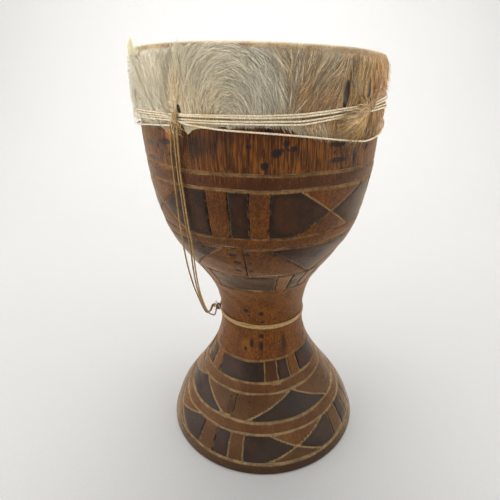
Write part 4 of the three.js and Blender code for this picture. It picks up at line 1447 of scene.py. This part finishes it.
def edgeWisps(draw):
    wisps = tufts["wisps"]
    for _ in range(wisps["count"]):
        a, h = draw.uniform(*wisps["angle"]), draw.uniform(*wisps["height"])
        turn = math.radians(draw.normal(-66, 22))
        reach = draw.uniform(*wisps["reach"])
        out = draw.uniform(0.8, 5.2) * (0.5 + 0.5 * float(smoothStep(-h, -372, -358)))

        def standOut(a, h, s):
            limit = 108.6 + 3.2 * float(smoothStep(h, 341, 350))
            return min(hideAt(a, h) + 0.4 + out * math.sin(1.9 * s), limit), float(rimLean(a, h))

        strand = layHair(a, h, turn, reach, standOut)
        yield strand, plainColour(wisps["colour"]) * draw.uniform(0.75, 1.05)


def makeTufts(material):
    draw = np.random.default_rng(71)
    laid = [pair for kind in (standingTuft, goldenLock, looseHairs, edgeWisps)
            for pair in kind(draw)]
    rows = np.array([strand for strand, _ in laid])
    colours = np.clip(np.array([colour for _, colour in laid]), 0, 0.98)
    width = hair["width"] * draw.uniform(0.8, 1.4, len(rows))
    piece = strandPiece("hair_tufts", rows, colours, width)
    dress(piece, material)
    print("tufts laid,", len(rows), "strands")


goatHair = makeHair()
makeTufts(goatHair)


# The binding, the waist twine and the knots

def heldRadius(angle, height):
    table = np.array(hide["hem"], float)
    below = np.interp(angleApart(angle, 0), table[:, 0], table[:, 1]) - height
    onHide = binding["radius"] + 0.3 * pleatRise(angle)
    onWood = woodRadius(height) + 1.7
    share = smoothStep(below, -1, 6)
    return onHide + (onWood - onHide) * share


def makeBinding():
    angles = np.arange(0, 360, 1.0)
    places = []
    offsets = binding["offsets"]
    for turn in range(4):
        at = binding["knotAngle"] + angles
        turned = angleApart(at, 0)
        own = np.interp(turned, binding["keys"], offsets[turn])
        after = np.interp(turned, binding["keys"], offsets[min(turn + 1, 3)])
        change = smoothStep(angles, 354, 360)
        drift = 0.25 * ripple(np.radians(at), 70 + turn, 2, 8, 3)
        height = twineBandHeight(at) + own * (1 - change) + after * change + drift
        radius = (heldRadius(at, height) + 0.22 * (turn % 2)
                  + 0.1 * ripple(np.radians(at), 80 + turn, 3, 9, 3))
        places.append(roundPoints(at, radius, height))
    low = np.array(binding["low"], float)
    at = binding["knotAngle"] + np.arange(0, 360, 1.5)
    settle = 1 - smoothStep(at, low[0, 0], low[0, 0] + 4)
    height = np.interp(at, low[:, 0], low[:, 1]) + settle * (places[-1][-1][2] - low[0, 1])
    hugging = 0.8 * smoothStep(at, 50, 66) * smoothStep(-at, -110, -96)
    radius = heldRadius(at, height) + 1.0 - hugging
    places.append(roundPoints(at, radius, height))
    line = np.vstack(places)
    for _ in range(2):
        line[1:-1] = (line[:-2] + 2 * line[1:-1] + line[2:]) / 4
    piece = twineTube("binding_twine", line)
    dress(piece, boundTwine)
    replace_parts(piece, "binding_cord")


waist = {"height": 133.4, "lean": -1.0, "turns": 3, "pitch": 1.42, "knotAngle": -83}


def makeWaistTwine():
    turns = np.arange(0, waist["turns"] * 360 + 1, 2.0)
    at = waist["knotAngle"] + turns
    share = turns / 360 - waist["turns"] / 2
    height = (waist["height"] + waist["lean"] * np.sin(np.radians(at)) + share * waist["pitch"]
              + 0.15 * ripple(np.radians(turns), 90, 0.6, 3, 3))
    split = np.exp(-(angleApart(at, -22) / 9) ** 2) * (share > 0.4)
    height = height + 0.8 * split
    places = roundPoints(at, woodRadius(height) + 0.8, height)
    piece = twineTube("waist_twine", places, step=0.7)
    dress(piece, waistTwine)
    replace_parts(piece, "waist_cord")


def knotPlaces(angle, radius, height, listed):
    # places beside a knot: to the right, outwards and up
    turn = math.radians(angle)
    outward = np.array([math.sin(turn), -math.cos(turn), 0])
    right = np.array([math.cos(turn), math.sin(turn), 0])
    middle = outward * radius + np.array([0, 0, height])
    return np.array([middle + right * r + outward * o + np.array([0, 0, u])
                     for r, o, u in listed])


def joinPieces(name, pieces):
    selectOnly(pieces[0])
    for piece in pieces[1:]:
        piece.select_set(True)
    bpy.ops.object.join()
    bpy.context.object.name = name
    return bpy.context.object


# Places beside a knot are to the right, outwards and up from its middle, in millimetres. The
# wraps give their steps, degrees a step and first angle, then where they run to each way.
skirtKnot = {
    "at": (binding["knotAngle"], 108.4, 337.0),
    "wraps": (36, 30, -90), "side": (-1.9, 3.8), "out": (0.6, 2.3), "up": (-0.6, 4.0),
    "end": [(1.4, 2.6, -3.4), (-0.6, 3.6, -1.0), (-2.2, 2.6, 1.8), (-2.6, 0.8, 3.2)],
    "drop": [(-2.6, 2.4, -1.0), (-2.5, 3.2, -3.6), (-2.0, 3.4, -6.4), (-1.6, 3.2, -8.6)],
    "tails": [[(2.0, 2.2, -2.5), (3.4, 2.4, -5.0), (5.2, 2.0, -7.0), (7.4, 1.6, -8.2)],
              [(1.2, 1.6, -3.0), (2.2, 1.4, -6.5), (2.6, 0.8, -10.0), (3.6, 0.2, -13.0)],
              [(-2.4, 1.6, 2.6), (-4.2, 2.4, 4.2), (-6.4, 2.0, 4.6)]],
    "tailStep": 0.6, "tailDiameter": 1.1, "taper": 0.65,
}
waistKnot = {
    "at": (waist["knotAngle"], 46.2, 134.6),
    "wraps": (30, 36, -120), "side": (-1.8, 3.4), "out": (0.9, 1.7), "up": (0.0, 3.2),
    "end": [],
    "drop": [],
    "tails": [[(1.2, 1.4, 2.4), (0.6, 2.8, 5.0), (1.6, 3.4, 8.0)],
              [(-0.4, 2.0, -2.4), (-1.4, 3.4, -4.6), (-0.6, 4.0, -6.6)]],
    "tailStep": 0.5, "tailDiameter": 1.2, "taper": 0.5,
}


def tieKnot(name, knot, material):
    steps, pitch, first = knot["wraps"]
    (side, across), (out, reach), (up, tall) = knot["side"], knot["out"], knot["up"]
    wraps = []
    for step in range(steps + 1):
        turn = math.radians(step * pitch + first)
        wraps.append((side + across * step / steps, out + reach * math.cos(turn),
                      up + tall * math.sin(turn)))
    pieces = [twineTube("knot_wraps", knotPlaces(*knot["at"], wraps + knot["end"]), step=0.6)]
    if knot["drop"]:
        line = smoothPath(knotPlaces(*knot["at"], knot["drop"]), 0.6)
        pieces.append(twineTube("knot_drop", line, step=0.6))
    for tail in knot["tails"]:
        line = smoothPath(knotPlaces(*knot["at"], tail), knot["tailStep"])
        pieces.append(twineTube("tail", line, diameter=knot["tailDiameter"], step=0.6,
                                taper=knot["taper"]))
    tied = joinPieces(name, pieces)
    dress(tied, material)
    return tied


makeBinding()
makeWaistTwine()
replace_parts(tieKnot("skirt_knot", skirtKnot, knotTwine), "binding_knot")
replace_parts(tieKnot("waist_tie", waistKnot, looseTwine), "waist_knot")
print("twine wound")


# A pale floor that turns up behind, and soft light

studio = {
    "cloth": linear(167, 166, 164),
    "clothLight": linear(175, 174, 172),
    "halfFloor": 60.0,
    "turnsUpAt": 0.7,
    "turnRadius": 0.9,
    "wallTop": 9.0,
    # painted light: the cloth itself glows further out
    "glow": (2.4, 7.0, 0.0, 0.5),    # from and to these metres out, and how strongly
    # name, place, size, watts, aim
    "lights": [("left", (-1.6, -0.6, 0.4), 1.8, 37, (0, 0, 0.28)),
               ("right", (1.5, -0.7, 0.5), 1.8, 23, (0, 0, 0.28)),
               ("top", (0.0, -0.2, 1.9), 1.2, 3, (0, 0, 0.1)),
               ("wall", (0.0, 0.8, 2.2), 1.6, 78, (0, 1.9, 0.7))],
    "skyFront": 0.56,
    "skyBack": 0.92,
}


def makeStudio():
    bpy.ops.object.select_all(action="DESELECT")
    bpy.ops.mesh.primitive_plane_add(size=1, location=(0, 0, 0))
    floor = bpy.context.object
    floor.name = "studio_floor"
    half, start, bend = studio["halfFloor"], studio["turnsUpAt"], studio["turnRadius"]
    profile = [(-half, 0.0), (start, 0.0)]
    for step in range(1, 11):
        turn = math.radians(step * 90 / 10)
        profile.append((start + bend * math.sin(turn), bend - bend * math.cos(turn)))
    profile.append((start + bend, studio["wallTop"]))
    vertices = [(x, y, z) for y, z in profile for x in (-half, half)]
    faces = [(2 * i, 2 * i + 1, 2 * i + 3, 2 * i + 2) for i in range(len(profile) - 1)]
    floor.data.clear_geometry()
    floor.data.from_pydata(vertices, [], faces)
    floor.data.polygons.foreach_set("use_smooth", [True] * len(faces))
    n = Nodes("paleCloth")
    weave = n.noise(n.objectPlace(), 900, 3, 0.6)
    folds = n.noise(n.objectPlace(), 3.2, 2, 0.5)
    colour = n.mix(n.ramp(weave, 0.3, 0.7), studio["cloth"], studio["clothLight"])
    bump = n.bump(folds, 0.02, 0.35)
    # painted light: past 2.4 m the cloth glows, so that the far floor and wall look evenly bright
    reach = n.add("ShaderNodeVectorMath", {0: n.objectPlace()}, out=1, operation="LENGTH")
    material = n.finish({"Base Color": colour, "Roughness": 0.9, "Normal": bump,
                         "Specular IOR Level": 0.1, "Emission Color": (1.0, 1.0, 0.985, 1.0),
                         "Emission Strength": n.ramp(reach, *studio["glow"])})
    floor.data.materials.append(material)
    for name, place, size, power, aim in studio["lights"]:
        bpy.ops.object.light_add(type="AREA", location=place)
        lamp = bpy.context.object
        lamp.name = name + "_light"
        lamp.data.size = size
        lamp.visible_camera = False
        lamp.data.energy = power
        toward = np.array(aim) - np.array(place)
        lamp.rotation_euler = (math.atan2(math.hypot(toward[0], toward[1]), -toward[2]), 0,
                               math.atan2(-toward[0], toward[1]))
    # the room: pale behind and at the sides, dim in front
    sky = bpy.data.worlds.new("soft_sky")
    sky.use_nodes = True
    tree = sky.node_tree
    background = tree.nodes["Background"]
    background.inputs[0].default_value = (0.98, 0.99, 1.0, 1)
    way = tree.nodes.new("ShaderNodeTexCoord")
    split = tree.nodes.new("ShaderNodeSeparateXYZ")
    level = tree.nodes.new("ShaderNodeMapRange")
    level.interpolation_type = "SMOOTHSTEP"
    for socket, value in zip(level.inputs[1:5], (-0.75, 0.3, studio["skyFront"],
                                                 studio["skyBack"])):
        socket.default_value = value
    tree.links.new(way.outputs["Generated"], split.inputs[0])
    tree.links.new(split.outputs["Y"], level.inputs[0])
    tree.links.new(level.outputs[0], background.inputs[1])
    bpy.context.scene.world = sky


makeStudio()
print("studio lit")
